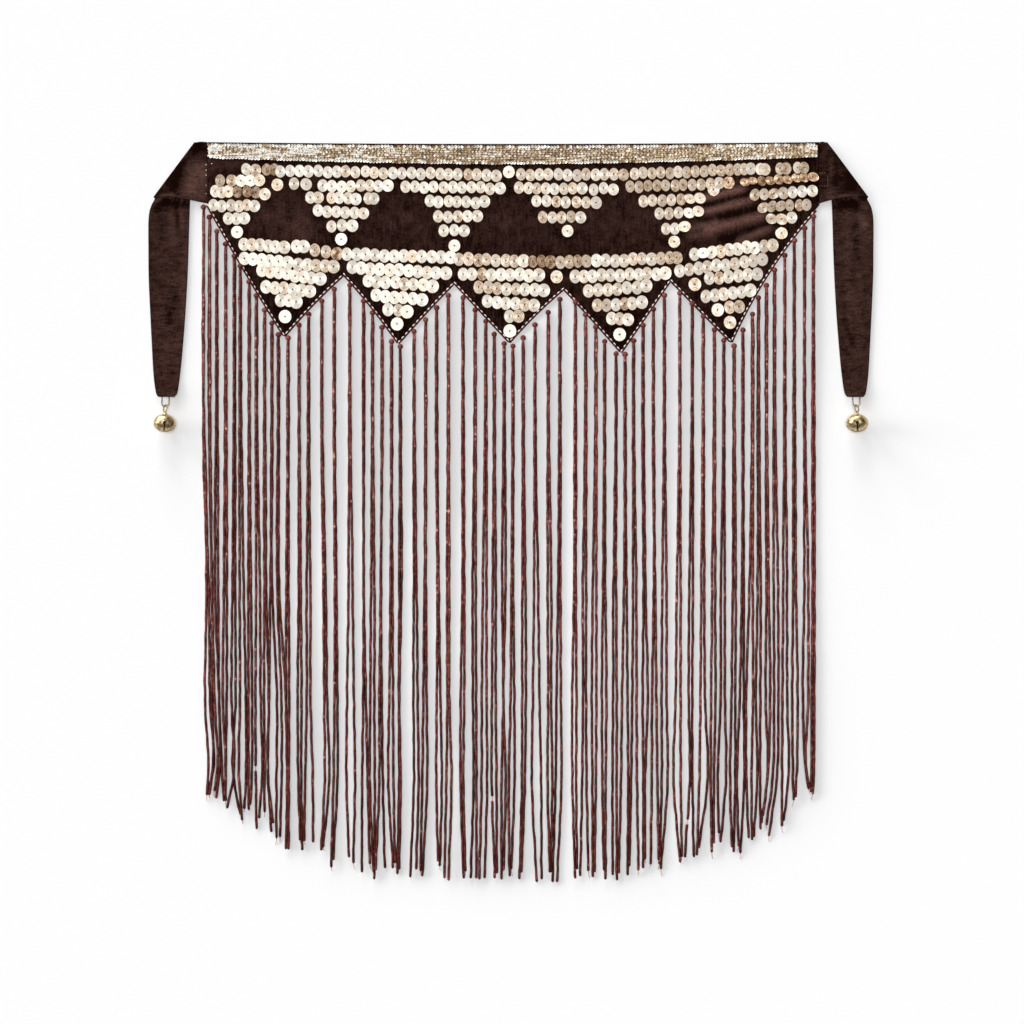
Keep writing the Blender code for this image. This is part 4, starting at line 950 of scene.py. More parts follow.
# The braid shines more towards its left end.
BRIGHTER_FROM = -60.0 * MM
BRIGHTER_OVER = 160.0 * MM
BRIGHT_TONE = 0.02
# How unevenly sequins are sewn, and how high over the tape's underside (mm, degrees).
BRAID_SHIFT_X = 0.15
BRAID_SHIFT_Y = 0.12
BRAID_ROW_WAVE = 0.3
BRAID_HEIGHTS = (0.7, 1.0)
BRAID_LEAN_SPREAD = 6.0
BRAID_ROLL_SPREAD = 9.0
# A sequin's tone, and what every second one, a bright run and the left end take off it.
BRAID_TONE = 0.72
BRAID_TONE_SPREAD = 0.12
SECOND_SEQUIN_TONE = 0.34
RUN_TONE = 0.08
LEFT_END_TONE = 0.06
# Chances that a sequin shines: anywhere, on a border and in a run, with more at the left end.
SHINE = 0.09
SHINE_LEFT = 0.12
SHINE_ON_BORDER = 0.75
SHINE_IN_RUN = 0.22
SHINE_IN_RUN_LEFT = 0.60
# A border or a run is bright where its waves add up to more than this.
BRIGHT_BORDER = -0.5
BRIGHT_RUN = 1.2
#   radius  height (mm)
BRAID_SEQUIN = ((0.34, -0.08), (1.04, 0.20), (1.04, 0.08))
BRAID_TAPE = 0.5 * MM
BRAID_TAPE_INSET = 0.8 * MM
BRAID_TAPE_COLUMNS = 120
BRAID_TAPE_ROWS = 4


def braid_width(x):
    end_width = TRIM_WIDTH_LEFT if x < 0.0 else TRIM_WIDTH_RIGHT
    return mix(TRIM_WIDTH_MIDDLE, end_width, abs(x / TRIM_RIGHT) ** 1.5)


def make_braid_tape(material):
    bm = bmesh.new()
    bmesh.ops.create_grid(
        bm, x_segments=BRAID_TAPE_COLUMNS, y_segments=BRAID_TAPE_ROWS, size=0.5
    )
    for vert in bm.verts:
        x = mix(TRIM_LEFT, TRIM_RIGHT, vert.co.x + 0.5)
        width = braid_width(x) - 2 * BRAID_TAPE_INSET
        top = waist_height(x) - TRIM_TOP_INSET - BRAID_TAPE_INSET
        y = top - (0.5 - vert.co.y) * width
        z = fold_height(x, y) + PANEL_THICKNESS + SEAM_GAP + BRAID_TAPE / 2
        vert.co = (x, y, z)
    tape = show("braid_tape", mesh_from(bm, "braid_tape"), material)
    wall = tape.modifiers.new("wall", "SOLIDIFY")
    wall.thickness = BRAID_TAPE
    wall.offset = 0.0
    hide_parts("sequin_trim")
    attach(tape, "belt")
    return tape


def ring_unit(name, section, steps):
    """A thin ring turned about its own Z from (radius, height) points in mm."""
    bm = bmesh.new()
    spin_line(bm, [(radius * MM, height * MM) for radius, height in section], steps, closed=True)
    bmesh.ops.remove_doubles(bm, verts=bm.verts, dist=0.001 * MM)
    bmesh.ops.recalc_face_normals(bm, faces=bm.faces)
    reach = max(radius for radius, _ in section) * MM
    flat = bm.loops.layers.uv.new("UVMap")
    for face in bm.faces:
        for loop in face.loops:
            loop[flat].uv = (loop.vert.co.x / reach, loop.vert.co.y / reach)
    return mesh_from(bm, name)


def make_braid_sequins(material):
    unit = ring_unit("braid_sequin_unit", BRAID_SEQUIN, 8)
    chance = random.Random(11)
    places, shades = [], []
    for row in range(BRAID_ROWS):
        border = row in (0, BRAID_ROWS - 1)
        pitch = BRAID_BORDER_PITCH if border else BRAID_PITCH
        count = int((TRIM_RIGHT - TRIM_LEFT) / pitch)
        drift = chance.uniform(0.0, 6.0)
        for index in range(count):
            x = mix(TRIM_LEFT, TRIM_RIGHT, (index + 0.5 * (row % 2) + 0.3) / (count + 0.5))
            x += chance.gauss(0.0, BRAID_SHIFT_X) * MM
            left = ease((BRIGHTER_FROM - x) / BRIGHTER_OVER)
            width = braid_width(x)
            y = waist_height(x) - TRIM_TOP_INSET - width * (row + 0.5) / BRAID_ROWS
            wave = BRAID_ROW_WAVE * math.sin(x * 210.0 + drift)
            y += (chance.gauss(0.0, BRAID_SHIFT_Y) + wave) * MM
            z = fold_height(x, y) + PANEL_THICKNESS + SEAM_GAP
            z += chance.uniform(*BRAID_HEIGHTS) * MM
            lean = BRAID_BORDER_LEAN if border else BRAID_LEAN
            tilt = rotation(chance.gauss(-lean, BRAID_LEAN_SPREAD), "Y")
            roll = rotation(chance.gauss(0.0, BRAID_ROLL_SPREAD), "X")
            size = Matrix.Scale(BRAID_BORDER_SIZE if border else 1.0, 4)
            places.append(Matrix.Translation((x, y, z)) @ tilt @ roll @ size)
            # Sequins catch the light by turns, and in long runs.
            run = math.sin(x * 61.0 + 0.8 * row) + math.sin(x * 137.0 - 1.1 * row + drift)
            tone = BRAID_TONE - SECOND_SEQUIN_TONE * (index % 2) - RUN_TONE * run
            tone = tone - LEFT_END_TONE * left + chance.gauss(0.0, BRAID_TONE_SPREAD)
            shine = SHINE + SHINE_LEFT * left
            if border and math.sin(x * 190.0 + row) + math.sin(x * 83.0 + row) > BRIGHT_BORDER:
                shine += SHINE_ON_BORDER
            elif run > BRIGHT_RUN - BRIGHT_RUN * left:
                shine += SHINE_IN_RUN + SHINE_IN_RUN_LEFT * left
            if chance.random() < shine:
                tone = BRIGHT_TONE
            shades.append(tone)
    sequins = many("braid_sequins", unit, places, shades, crisp=True)
    braid = show("braid_sequins", sequins, material)
    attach(braid, "belt")
    return braid


# ------------------------------------------------------------ paillettes

def lie_on_cloth(x, y):
    """The turn that lays something flat on the cloth's slope at a place."""
    step = 2.0 * MM
    across = Vector((2.0 * step, 0.0, fold_height(x + step, y) - fold_height(x - step, y)))
    up = Vector((0.0, 2.0 * step, fold_height(x, y + step) - fold_height(x, y - step)))
    normal = across.cross(up).normalized()
    return normal.to_track_quat("Z", "Y").to_matrix().to_4x4()


def make_paillettes(name, table, seed, unit, size, material):
    chance = random.Random(seed)
    places, shades = [], []
    for first_x, last_x, count, first_y, last_y, shade, *tipped in table:
        for index in range(count):
            share = index / (count - 1) if count > 1 else 0.0
            x = (mix(first_x, last_x, share) + chance.gauss(0.0, PAILLETTE_SHIFT_X)) * MM
            y = (mix(first_y, last_y, share) + chance.gauss(0.0, PAILLETTE_SHIFT_Y)) * MM
            lean = PAILLETTE_LEAN + PAILLETTE_LEAN_DARKER * shade
            lean += chance.gauss(0.0, PAILLETTE_ANGLE_SPREAD)
            tip = chance.gauss(0.0, PAILLETTE_ANGLE_SPREAD)
            if count == 1:
                lean *= SINGLE_LEAN_SHARE
            if tipped:
                lean, tip = TIPPED_LEAN, tipped[0] + chance.gauss(0.0, TIPPED_SPREAD)
            lift = math.sin(math.radians(abs(lean))) + math.sin(math.radians(abs(tip)))
            z = fold_height(x, y) + PANEL_THICKNESS + PAILLETTE_CLEARANCE
            z += PAILLETTE_LIFT_SHARE * size * PAILLETTE_RADIUS * lift
            tilt = rotation(-lean, "Y")
            roll = rotation(tip, "X")
            turn = Matrix.Rotation(chance.uniform(*ANY_ANGLE), 4, "Z")
            scale = Matrix.Scale(size * chance.gauss(1.0, PAILLETTE_SIZE_SPREAD), 4)
            base = Matrix.Translation((x, y, z)) @ lie_on_cloth(x, y)
            squeeze = LAST_PAILLETTE_SQUEEZE if index == count - 1 else PAILLETTE_SQUEEZE
            narrow = Matrix.Diagonal((squeeze, 1.0, 1.0, 1.0))
            places.append(base @ tilt @ roll @ narrow @ turn @ scale)
            # Painted reflection: each paillette's tone follows its row, varies at random, and is
            # sometimes darker.
            darker_by = DARKER_PAILLETTE_TONE * (chance.random() < DARKER_PAILLETTE_SHARE)
            tone = shade + PAILLETTE_TONE_SHIFT + chance.gauss(0.0, PAILLETTE_TONE_SPREAD)
            shades.append(tone + darker_by)
    discs = show(name, many(name, unit, places, shades, crisp=True), material)
    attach(discs, "belt")
    return discs


# ------------------------------------------------------------ fringe

BEAD_PITCH = 2.4 * MM
BEAD_RADIUS = 1.42 * MM
BEAD_WAIST = 1.20 * MM
BEAD_SIDES = 6
STRAND_LOW = 1.4 * MM
STRING_END_RADIUS = 0.5 * MM
TAB_COUNT = len(HEM_CORNERS) // 2
# Under their root bead the two strings are drawn together, and they spread over this length.
NECK_DROP = 0.8 * MM
NECK_LENGTH = 13.0 * MM
NECK_SHARE = 0.25
# Near the hem the two strings of a pair lie over each other. Lengths here are shares of the
# whole string.
TWISTED_SHARE = 0.42
PARTING_FROM = (0.12, 0.28)
PARTING_LENGTH = 0.3
# How far apart a pair stays where it is pinched most. Below OPEN_FROM the pinches fade out.
OPENNESS = (0.58, 1.0)
FIRST_ROOT_OPENNESS = 0.2
OPEN_FROM = 0.45
OPEN_LENGTH = 0.25
# A pair is pinched by turns along its length, in waves of this many mm for each radian.
PINCH_SCALES = (17.0, 30.0)
# The upper string of a pair is lifted where the two are pinched, and sooner than they meet.
OVER_LIFT = 2.3 * MM
OVER_SOONER = 1.6
# Strings and beads aren't quite even.
STRAND_RISE = 0.10 * MM
GIRTH_SPREAD = 0.05
# Lower down a string lies on the floor or up on its neighbours (mm).
LAYER_HEIGHTS = (0.0, 1.3, 2.4)
LAYERS_FROM = 0.55
LAYERS_LENGTH = 0.25
# Sideways unevenness as (wave length, size) pairs in mm: for both strings, and for each.
PAIR_WAVES = ((33.0, 0.13), (14.0, 0.06))
STRING_WAVES = ((46.0, 0.13), (21.0, 0.07), (9.0, 0.03))
# Tone of a string, how it rises for each metre towards the waist, and its slow play.
STRING_TONE = 0.35
STRING_TONE_SPREAD = 0.06
TONE_SLOPE = 0.45
TONE_WAVE = 0.13
# How much each bead's tone differs at random, and how often and how much a bead is lightened as a
# painted glint.
SPECKLE_SPREAD = 0.15
GLINT_BEAD_CHANCE = 0.05
GLINT_BEAD_TONE = 0.24
# Here and there beads are missing near the tip, and their thread shows.
GAP_CHANCE = 0.05
GAP_PLACES = (0.06, 0.16)
GAP_HALF = 2.4 * MM
GAP_TONE = 1.25
THREAD_CHANCE = 0.45
# Bare thread ends (mm). None reaches below THREAD_LOW.
THREAD_LENGTHS = (3.0, 7.0)
THREAD_CURLS = (-1.5, 1.5)
THREAD_TONES = (0.2, 0.8)
THREAD_POINTS = 5
THREAD_RADIUS = 0.32 * MM
THREAD_LOW = -368.0 * MM


def root_places():
    """Every root's X and the Y of its bead, with the hem side that carries it."""
    corners = [corner[1] * MM for corner in HEM_CORNERS[1:-1]]
    roots = []
    for row, lift in zip(STRANDS, ROOT_BEAD_LIFTS):
        x = row[0] * MM
        side = sum(corner <= x for corner in corners)
        slope = (hem_height(x + MM) - hem_height(x - MM)) / (2 * MM)
        bead_y = hem_height(x) - ROOT_BEAD_OFFSET * math.hypot(1.0, slope) + lift * MM
        roots.append((side, x, bead_y))
    return roots


def soft_line(heights, places, at):
    """A smooth curve through the places at falling heights, read at many heights."""
    heights = -np.array(heights)
    places = np.array(places)
    at = -at
    slopes = np.gradient(places, heights)
    slopes[0] = 0.0
    index = np.clip(np.searchsorted(heights, at) - 1, 0, len(heights) - 2)
    span = heights[index + 1] - heights[index]
    t = np.clip((at - heights[index]) / span, 0.0, 1.0)
    start = (1.0 + 2.0 * t) * (1.0 - t) ** 2 * places[index]
    start = start + t * (1.0 - t) ** 2 * span * slopes[index]
    end = t * t * (3.0 - 2.0 * t) * places[index + 1]
    return start + end + t * t * (t - 1.0) * span * slopes[index + 1]


def waves(y, chance, sizes):
    """Slight sideways unevenness: (wave length, size) pairs in mm."""
    total = np.zeros_like(y)
    for wave_length, size in sizes:
        phase = chance.uniform(*ANY_ANGLE)
        stretch = chance.uniform(0.8, 1.25)
        total += size * MM * np.sin(2.0 * math.pi * y / (wave_length * stretch * MM) + phase)
    return total


def pair_spread(y, down, openness, parting_from, shared):
    """Half the distance between the two strings of a pair, from their root to their tips."""
    slow = np.sin(y / (shared.uniform(*PINCH_SCALES) * MM) + shared.uniform(*ANY_ANGLE))
    pinch = 1.0 - (1.0 - openness) * (0.5 + 0.5 * slow)
    parting = np.clip((down - parting_from) / PARTING_LENGTH, 0.0, 1.0)
    pinch = pinch * mix(TWISTED_SHARE, 1.0, parting)
    neck = mix(NECK_SHARE, 1.0, np.clip((y[0] - y) / NECK_LENGTH, 0.0, 1.0))
    open_low = np.clip((down - OPEN_FROM) / OPEN_LENGTH, 0.0, 1.0)
    return STRAND_HALF_PITCH * neck * (pinch * (1.0 - open_low) + open_low)


def string_looks(y, seed, chance):
    """The radii and tones of a string's rings, which are its beads' middles and ends by turns."""
    radii = np.where(np.arange(len(y)) % 2 == 1, BEAD_RADIUS, BEAD_WAIST)
    radii = radii * (1.0 + GIRTH_SPREAD * np.sin(y * 300.0 + seed * 9.0))
    tone = STRING_TONE + chance.gauss(0.0, STRING_TONE_SPREAD) + TONE_SLOPE * y
    quick = np.sin(y * 150.0 + chance.uniform(*ANY_ANGLE))
    tone = tone + TONE_WAVE * quick * np.sin(y * 47.0 + chance.uniform(*ANY_ANGLE))
    # Each bead gets a random tone, and a few a painted glint.
    bead_tones_and_glints = [
        chance.gauss(0.0, SPECKLE_SPREAD)
        + GLINT_BEAD_TONE * (chance.random() < GLINT_BEAD_CHANCE)
        for _ in range(len(y) // 2 + 1)
    ]
    tone = tone + np.repeat(bead_tones_and_glints, 2)[:len(y)]
    if chance.random() < GAP_CHANCE:
        gap = abs(y - mix(y[-1], y[0], chance.uniform(*GAP_PLACES))) < GAP_HALF
        radii = np.where(gap, THREAD_RADIUS, radii)
        tone = np.where(gap, GAP_TONE, tone)
    radii[0] = radii[-1] = STRING_END_RADIUS
    return radii, tone


def thread_end(points, chance):
    """Bare thread that runs on from a string's last points and curls, as a tube."""
    way_on = points[-1] - points[-5]
    way_on /= np.linalg.norm(way_on)
    length = chance.uniform(*THREAD_LENGTHS) * MM
    shares = np.linspace(0.0, 1.0, THREAD_POINTS)
    line = points[-1] + np.outer(shares * length, way_on)
    line[:, 0] += shares ** 2 * chance.uniform(*THREAD_CURLS) * MM
    line[:, 2] = np.linspace(points[-1][2], THREAD_RADIUS * 1.2, THREAD_POINTS)
    shade = np.full(THREAD_POINTS, chance.uniform(*THREAD_TONES))
    return line, np.full(THREAD_POINTS, THREAD_RADIUS), shade


def bead_strings(root, row, chance):
    """The two strings of one root, and their bare thread ends, as tubes."""
    _, root_x, bead_y = root
    top = bead_y - NECK_DROP
    seed = chance.random()
    openness = chance.uniform(*OPENNESS) if row is not STRANDS[0] else FIRST_ROOT_OPENNESS
    over = chance.choice((0, 1))
    parting_from = chance.uniform(*PARTING_FROM)
    strings, threads = [], []
    for half, way in ((0, -1.0), (1, 1.0)):
        *levels, tip_x, tip_y = [value * MM for value in row[1 + 5 * half:6 + 5 * half]]
        y = np.linspace(top, tip_y, 2 * int((top - tip_y) / BEAD_PITCH) + 1)
        down = (top - y) / (top - tip_y)
        middles = [x - way * STRAND_HALF_PITCH for x in (*levels, tip_x)]
        heights = (top, STRAND_TOP, *STRAND_LEVELS, tip_y)
        centre = soft_line(heights, (root_x, root_x, *middles), y)
        shared = random.Random(seed)
        apart = pair_spread(y, down, openness, parting_from, shared)
        x = centre + way * apart + waves(y, shared, PAIR_WAVES)
        x = x + waves(y, chance, STRING_WAVES)
        z = STRAND_LOW + STRAND_RISE * (1.0 + np.sin(y * 190.0 + seed * 40.0))
        if half == over:
            closeness = OVER_SOONER * (1.0 - apart / STRAND_HALF_PITCH)
            z = z + OVER_LIFT * np.clip(closeness, 0.0, 1.0)
        layer = np.clip((down - LAYERS_FROM) / LAYERS_LENGTH, 0.0, 1.0)
        z = z + chance.choice(LAYER_HEIGHTS) * MM * layer
        points = np.stack([x, y, z], axis=1)
        strings.append((points, *string_looks(y, seed, chance)))
        if chance.random() < THREAD_CHANCE and tip_y - THREAD_LENGTHS[1] * MM > THREAD_LOW:
            threads.append(thread_end(points, chance))
    return strings, threads


def make_fringe(roots, glass, thread):
    chance = random.Random(23)
    all_threads = []
    for tab in range(TAB_COUNT):
        strings = []
        for root, row in zip(roots, STRANDS):
            if root[0] // 2 == tab:
                pair, ends = bead_strings(root, row, chance)
                strings += pair
                all_threads += ends
        name = "bead_strings_" + str(tab + 1)
        beads = show(name, tubes(name, strings, BEAD_SIDES), glass)
        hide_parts("fringe_" + str(tab + 1))
        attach(beads, "belt")
    ends = show("thread_ends", tubes("thread_ends", all_threads, 4), thread)
    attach(ends, "belt")


ROOT_BEAD_RADIUS = 2.85 * MM
ROOT_BEAD_HEIGHT = 2.7 * MM
ROOT_BEAD_TONE = 0.52
# A bead drawn up to the hem rides on its edging: how much it rises, and how far at most (mm).
RIDE_SHARE = 0.45
RIDE_MOST = 1.8


def make_root_beads(roots, material):
    unit = ball("root_bead_unit", 12, 7, ROOT_BEAD_RADIUS)
    chance = random.Random(5)
    places, shades = [], []
    for (_, x, y), lift in zip(roots, ROOT_BEAD_LIFTS):
        size = Matrix.Diagonal((chance.uniform(0.92, 1.05), chance.uniform(0.88, 1.0), 0.95, 1.0))
        z = ROOT_BEAD_HEIGHT + min(max(RIDE_SHARE * lift, 0.0), RIDE_MOST) * MM
        places.append(Matrix.Translation((x, y, z)) @ size)
        shades.append(ROOT_BEAD_TONE + chance.gauss(0.0, 0.06))
    beads = show("root_beads", many("root_beads", unit, places, shades), material)
    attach(beads, "belt")


# ------------------------------------------------------------ beaded edging

EDGING_PITCH = 5.5 * MM
EDGING_TONE = 0.42
# The cord that the edging is sewn over.
EDGING_CORD_OFFSET = 1.15 * MM
EDGING_CORD_RADIUS = 0.85 * MM
EDGING_CORD_TONE = 0.30
HEM_RUN_STEPS = 60


def hem_run():
    """Points and directions along the hem."""
    points = []
    for side in range(len(HEM_CORNERS) - 1):
        for step in range(HEM_RUN_STEPS):
            here = hem_side_point(side, step / HEM_RUN_STEPS)
            ahead = hem_side_point(side, (step + 1) / HEM_RUN_STEPS)
            points.append((here, (ahead - here).normalized()))
    return points


def stations(run, pitch, start=0.0):
    """Every pitch along a run, with the direction there."""
    found = []
    due = start
    travelled = 0.0
    for (here, along), (ahead, _) in zip(run, run[1:]):
        length = (ahead - here).length
        while due <= travelled + length and length > 0.0:
            found.append((here.lerp(ahead, (due - travelled) / length), along))
            due += pitch
        travelled += length
    return found


def make_edging(white, dark):
    unit = ball("edging_bead_unit", 6, 5)
    chance = random.Random(3)
    run = hem_run()
    #   name  offset  start  half_length  radius  height over the panel (mm)
    rows = (
        ("edging_white", -0.1, 0.0, 1.75, 0.58, 0.3, white),
        ("edging_dark", 0.0, 2.75, 1.1, 0.75, 0.3, dark),
        ("edging_outer", 1.35, 0.0, 1.45, 0.80, -0.7, dark),
        ("edging_outer_gap", 1.4, 2.75, 1.45, 0.80, -0.7, dark),
    )
    for name, offset, start, half_length, radius, height, material in rows:
        places, shades = [], []
        for edge, along in stations(run, EDGING_PITCH, start * MM):
            point = edge + Vector((along.y, -along.x)) * offset * MM
            turn = Matrix.Rotation(math.atan2(along.y, along.x), 4, "Z")
            stretch = Matrix.Diagonal((half_length * MM, radius * MM, radius * MM, 1.0))
            z = PANEL_THICKNESS + (height + chance.uniform(0.0, 0.2)) * MM
            places.append(Matrix.Translation((point.x, point.y, z)) @ turn @ stretch)
            shades.append(EDGING_TONE + chance.gauss(-0.06, 0.08))
        beads = show(name, many(name, unit, places, shades), material)
        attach(beads, "belt")

    line = [
        (*(edge + Vector((along.y, -along.x)) * EDGING_CORD_OFFSET), PANEL_THICKNESS / 2)
        for edge, along in run
    ]
    radii = np.full(len(line), EDGING_CORD_RADIUS)
    tones = np.full(len(line), EDGING_CORD_TONE)
    cord = show("edging_cord", tubes("edging_cord", [(np.array(line), radii, tones)], 8), dark)
    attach(cord, "belt")


# ------------------------------------------------------------ bells

# Above its middle the bell narrows a little more slowly than below.
FULLNESS_ABOVE = 0.85
FULLNESS_BELOW = 0.95
# Cutters reach this far past the bell, and each slit past the middle by a share of its width.
CUT_PAST = 3.0 * MM
SLIT_OVERLAP = 0.37
# A slit on top, one at each side and a narrow one underneath, with a hole at each one's end.
#   turn (degrees)  slit width  hole radius
BELL_CUTS = (
    (0.0, BELL_SLIT_WIDTH, BELL_HOLE_RADIUS),
    (90.0, BELL_SLIT_WIDTH, BELL_HOLE_RADIUS),
    (-90.0, BELL_SLIT_WIDTH, BELL_HOLE_RADIUS),
    (180.0, 0.4 * MM, 0.5 * MM),
)


def bell_frame(side):
    """Matrix of a bell: origin at its middle, +Z towards its loop, +Y up out of the cloth."""
    loopward = (LINK_FOOT - BELL_CENTRE).normalized()
    across = Vector((1.0, 0.0, 0.0))
    upward = loopward.cross(across)
    turn = Matrix((across, upward, loopward)).transposed().to_4x4()
    place = BELL_CENTRE + Vector((BELL_X * SIDES[side], 0.0, 0.0))
    return Matrix.Translation(place) @ turn


def make_bell(side, material, inside_shade):
    reach = (LINK_FOOT - BELL_CENTRE).length
    neck_top = reach - LOOP_FROM_LINK - LOOP_RADIUS - LOOP_WIRE / 2 - SEAM_GAP
    start = math.acos(BELL_NECK_RADIUS / BELL_RADIUS)
    line = [(0.0, neck_top), (BELL_NECK_TOP_RADIUS * 0.85, neck_top),
            (BELL_NECK_TOP_RADIUS, neck_top - 0.35 * MM)]
    for step in range(BELL_STEPS_DOWN + 1):
        angle = mix(start, -math.pi / 2, step / BELL_STEPS_DOWN)
        fuller = FULLNESS_ABOVE if angle > 0.0 else FULLNESS_BELOW
        line.append((
            BELL_RADIUS * max(math.cos(angle), 0.0) ** fuller, BELL_HALF_HEIGHT * math.sin(angle)
        ))
    outer_count = len(line)
    for step in range(BELL_STEPS_DOWN + 1):
        angle = mix(-math.pi / 2, math.pi / 2, step / BELL_STEPS_DOWN)
        line.append((
            (BELL_RADIUS - BELL_WALL) * math.cos(angle),
            (BELL_HALF_HEIGHT - BELL_WALL) * math.sin(angle),
        ))
    bm = bmesh.new()
    for part in (line[:outer_count], line[outer_count:]):
        spin_line(bm, part, BELL_STEPS_AROUND)
    bmesh.ops.remove_doubles(bm, verts=bm.verts, dist=0.002 * MM)
    bmesh.ops.recalc_face_normals(bm, faces=bm.faces)
    name = "bell_shell_" + side
    bell = show(name, mesh_from(bm, name), material)
    cutters = []
    slit_top = -BELL_HOLE_BELOW
    slit_bottom = -BELL_HALF_HEIGHT - CUT_PAST
    reach_out = BELL_RADIUS + CUT_PAST
    for turn, slit_width, hole_radius in BELL_CUTS:
        aim = rotation(turn, "Z")
        slit = bmesh.new()
        past = slit_width * SLIT_OVERLAP
        bmesh.ops.create_cube(slit, size=1.0, matrix=aim @ Matrix.Translation(
            (0.0, (past - reach_out) / 2, (slit_top + slit_bottom) / 2)) @ Matrix.Diagonal(
            (slit_width, reach_out + past, slit_top - slit_bottom, 1.0)))
        hole = bmesh.new()
        bmesh.ops.create_cone(
            hole, cap_ends=True, segments=20, radius1=hole_radius, radius2=hole_radius,
            depth=reach_out / 2, matrix=aim @ Matrix.Translation(
                (0.0, -reach_out * 0.75, slit_top)) @ rotation(90.0, "X"))
        for cut in (slit, hole):
            cutter = show("bell_cut", mesh_from(cut, "bell_cut"), material)
            cutters.append(cutter)
            boolean = bell.modifiers.new("cut", "BOOLEAN")
            boolean.operation = "DIFFERENCE"
            boolean.object = cutter
    mesh = settle(bell)
    for cutter in cutters:
        bpy.data.objects.remove(cutter, do_unlink=True)
    # Faces inside the wall's middle take a dark finish, painted shade for the bell's inside.
    mesh.materials.append(inside_shade)
    for face in mesh.polygons:
        x, y, z = face.center
        wide = math.hypot(x, y) / (BELL_RADIUS - 0.4 * BELL_WALL)
        if math.hypot(wide, z / (BELL_HALF_HEIGHT - 0.4 * BELL_WALL)) < 1.0:
            face.material_index = 1
    mesh.transform(bell_frame(side) @ rotation(BELL_TURN * SIDES[side], "Z"))
    mesh.shade_smooth()
    mesh.set_sharp_from_angle(angle=math.radians(35.0))
    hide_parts("bell_" + side)
    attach(bell, "bell_" + side)


def ring_mesh(name, outline, wire):
    """A closed wire through the outline's points."""
    curve = bpy.data.curves.new(name, "CURVE")
    curve.dimensions = "3D"
    curve.bevel_depth = wire / 2
    curve.bevel_resolution = 3
    spline = curve.splines.new("POLY")
    spline.points.add(len(outline) - 1)
    for spline_point, point in zip(spline.points, outline):
        spline_point.co = (*point, 1.0)
    spline.use_cyclic_u = True
    holder = bpy.data.objects.new(name, curve)
    bpy.context.scene.collection.objects.link(holder)
    graph = bpy.context.evaluated_depsgraph_get()
    mesh = bpy.data.meshes.new_from_object(holder.evaluated_get(graph))
    bpy.data.objects.remove(holder, do_unlink=True)
    mesh.shade_smooth()
    return mesh


def make_bell_fittings(side, metal, steel):
    reach = (LINK_FOOT - BELL_CENTRE).length - LOOP_FROM_LINK
    angles = [2.0 * math.pi * step / LOOP_STEPS for step in range(LOOP_STEPS)]
    circle = [
        Vector((LOOP_RADIUS * math.cos(angle), 0.0, LOOP_RADIUS * math.sin(angle)))
        for angle in angles
    ]
    name = "bell_wire_loop_" + side
    mesh = ring_mesh(name, circle, LOOP_WIRE)
    twist = rotation(LOOP_TWIST * SIDES[side], "Z")
    mesh.transform(bell_frame(side) @ Matrix.Translation((0.0, 0.0, reach)) @ twist)
    loop = show(name, mesh, metal)
    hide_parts("bell_loop_" + side)
    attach(loop, "bell_" + side)

    run = LINK_HEAD - LINK_FOOT
    along = run.normalized()
    half_straight = run.length / 2 - LINK_WIDTH / 2
    outline = []
    for end_way, first_angle in ((1.0, 0.0), (-1.0, math.pi)):
        for step in range(LINK_END_STEPS + 1):
            angle = first_angle + math.pi * step / LINK_END_STEPS
            x = LINK_WIDTH / 2 * math.cos(angle) + BELL_X * SIDES[side]
            out = end_way * half_straight + LINK_WIDTH / 2 * math.sin(angle)
            outline.append(LINK_FOOT.lerp(LINK_HEAD, 0.5) + along * out + Vector((x, 0, 0)))
    name = "wire_link_" + side
    link = show(name, ring_mesh(name, outline, LINK_WIRE), metal)
    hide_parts("jump_link_" + side)
    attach(link, "belt")

    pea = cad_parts["bell_pea_" + side]
    for slot in pea.material_slots:
        slot.material = steel


# ------------------------------------------------------------ seams and stitches

SEAM_THREAD_WIDTH = 0.16 * MM
SEAM_THREAD_HEIGHT = 1.5 * MM
SEAM_THREAD_MIDDLE = 0.85 * MM
SEAM_THREAD_SHORTER = 3.0 * MM


def make_seam_threads(material):
    """Dark thread in the narrow gap where each tie meets the panel."""
    length = WAIST_AT_ENDS - PANEL_END_BOTTOM - SEAM_THREAD_SHORTER
    bm = bmesh.new()
    for side, way in SIDES.items():
        edge = PANEL_RIGHT if side == "right" else -PANEL_LEFT
        middle = (edge + TIE_SEAM[side]) / 2 * way
        place = (middle, (WAIST_AT_ENDS + PANEL_END_BOTTOM) / 2, SEAM_THREAD_MIDDLE)
        size = Matrix.Diagonal((SEAM_THREAD_WIDTH, length, SEAM_THREAD_HEIGHT, 1.0))
        bmesh.ops.create_cube(bm, size=1.0, matrix=Matrix.Translation(place) @ size)
    seams = show("seam_threads", mesh_from(bm, "seam_threads"), material)
    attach(seams, "belt")


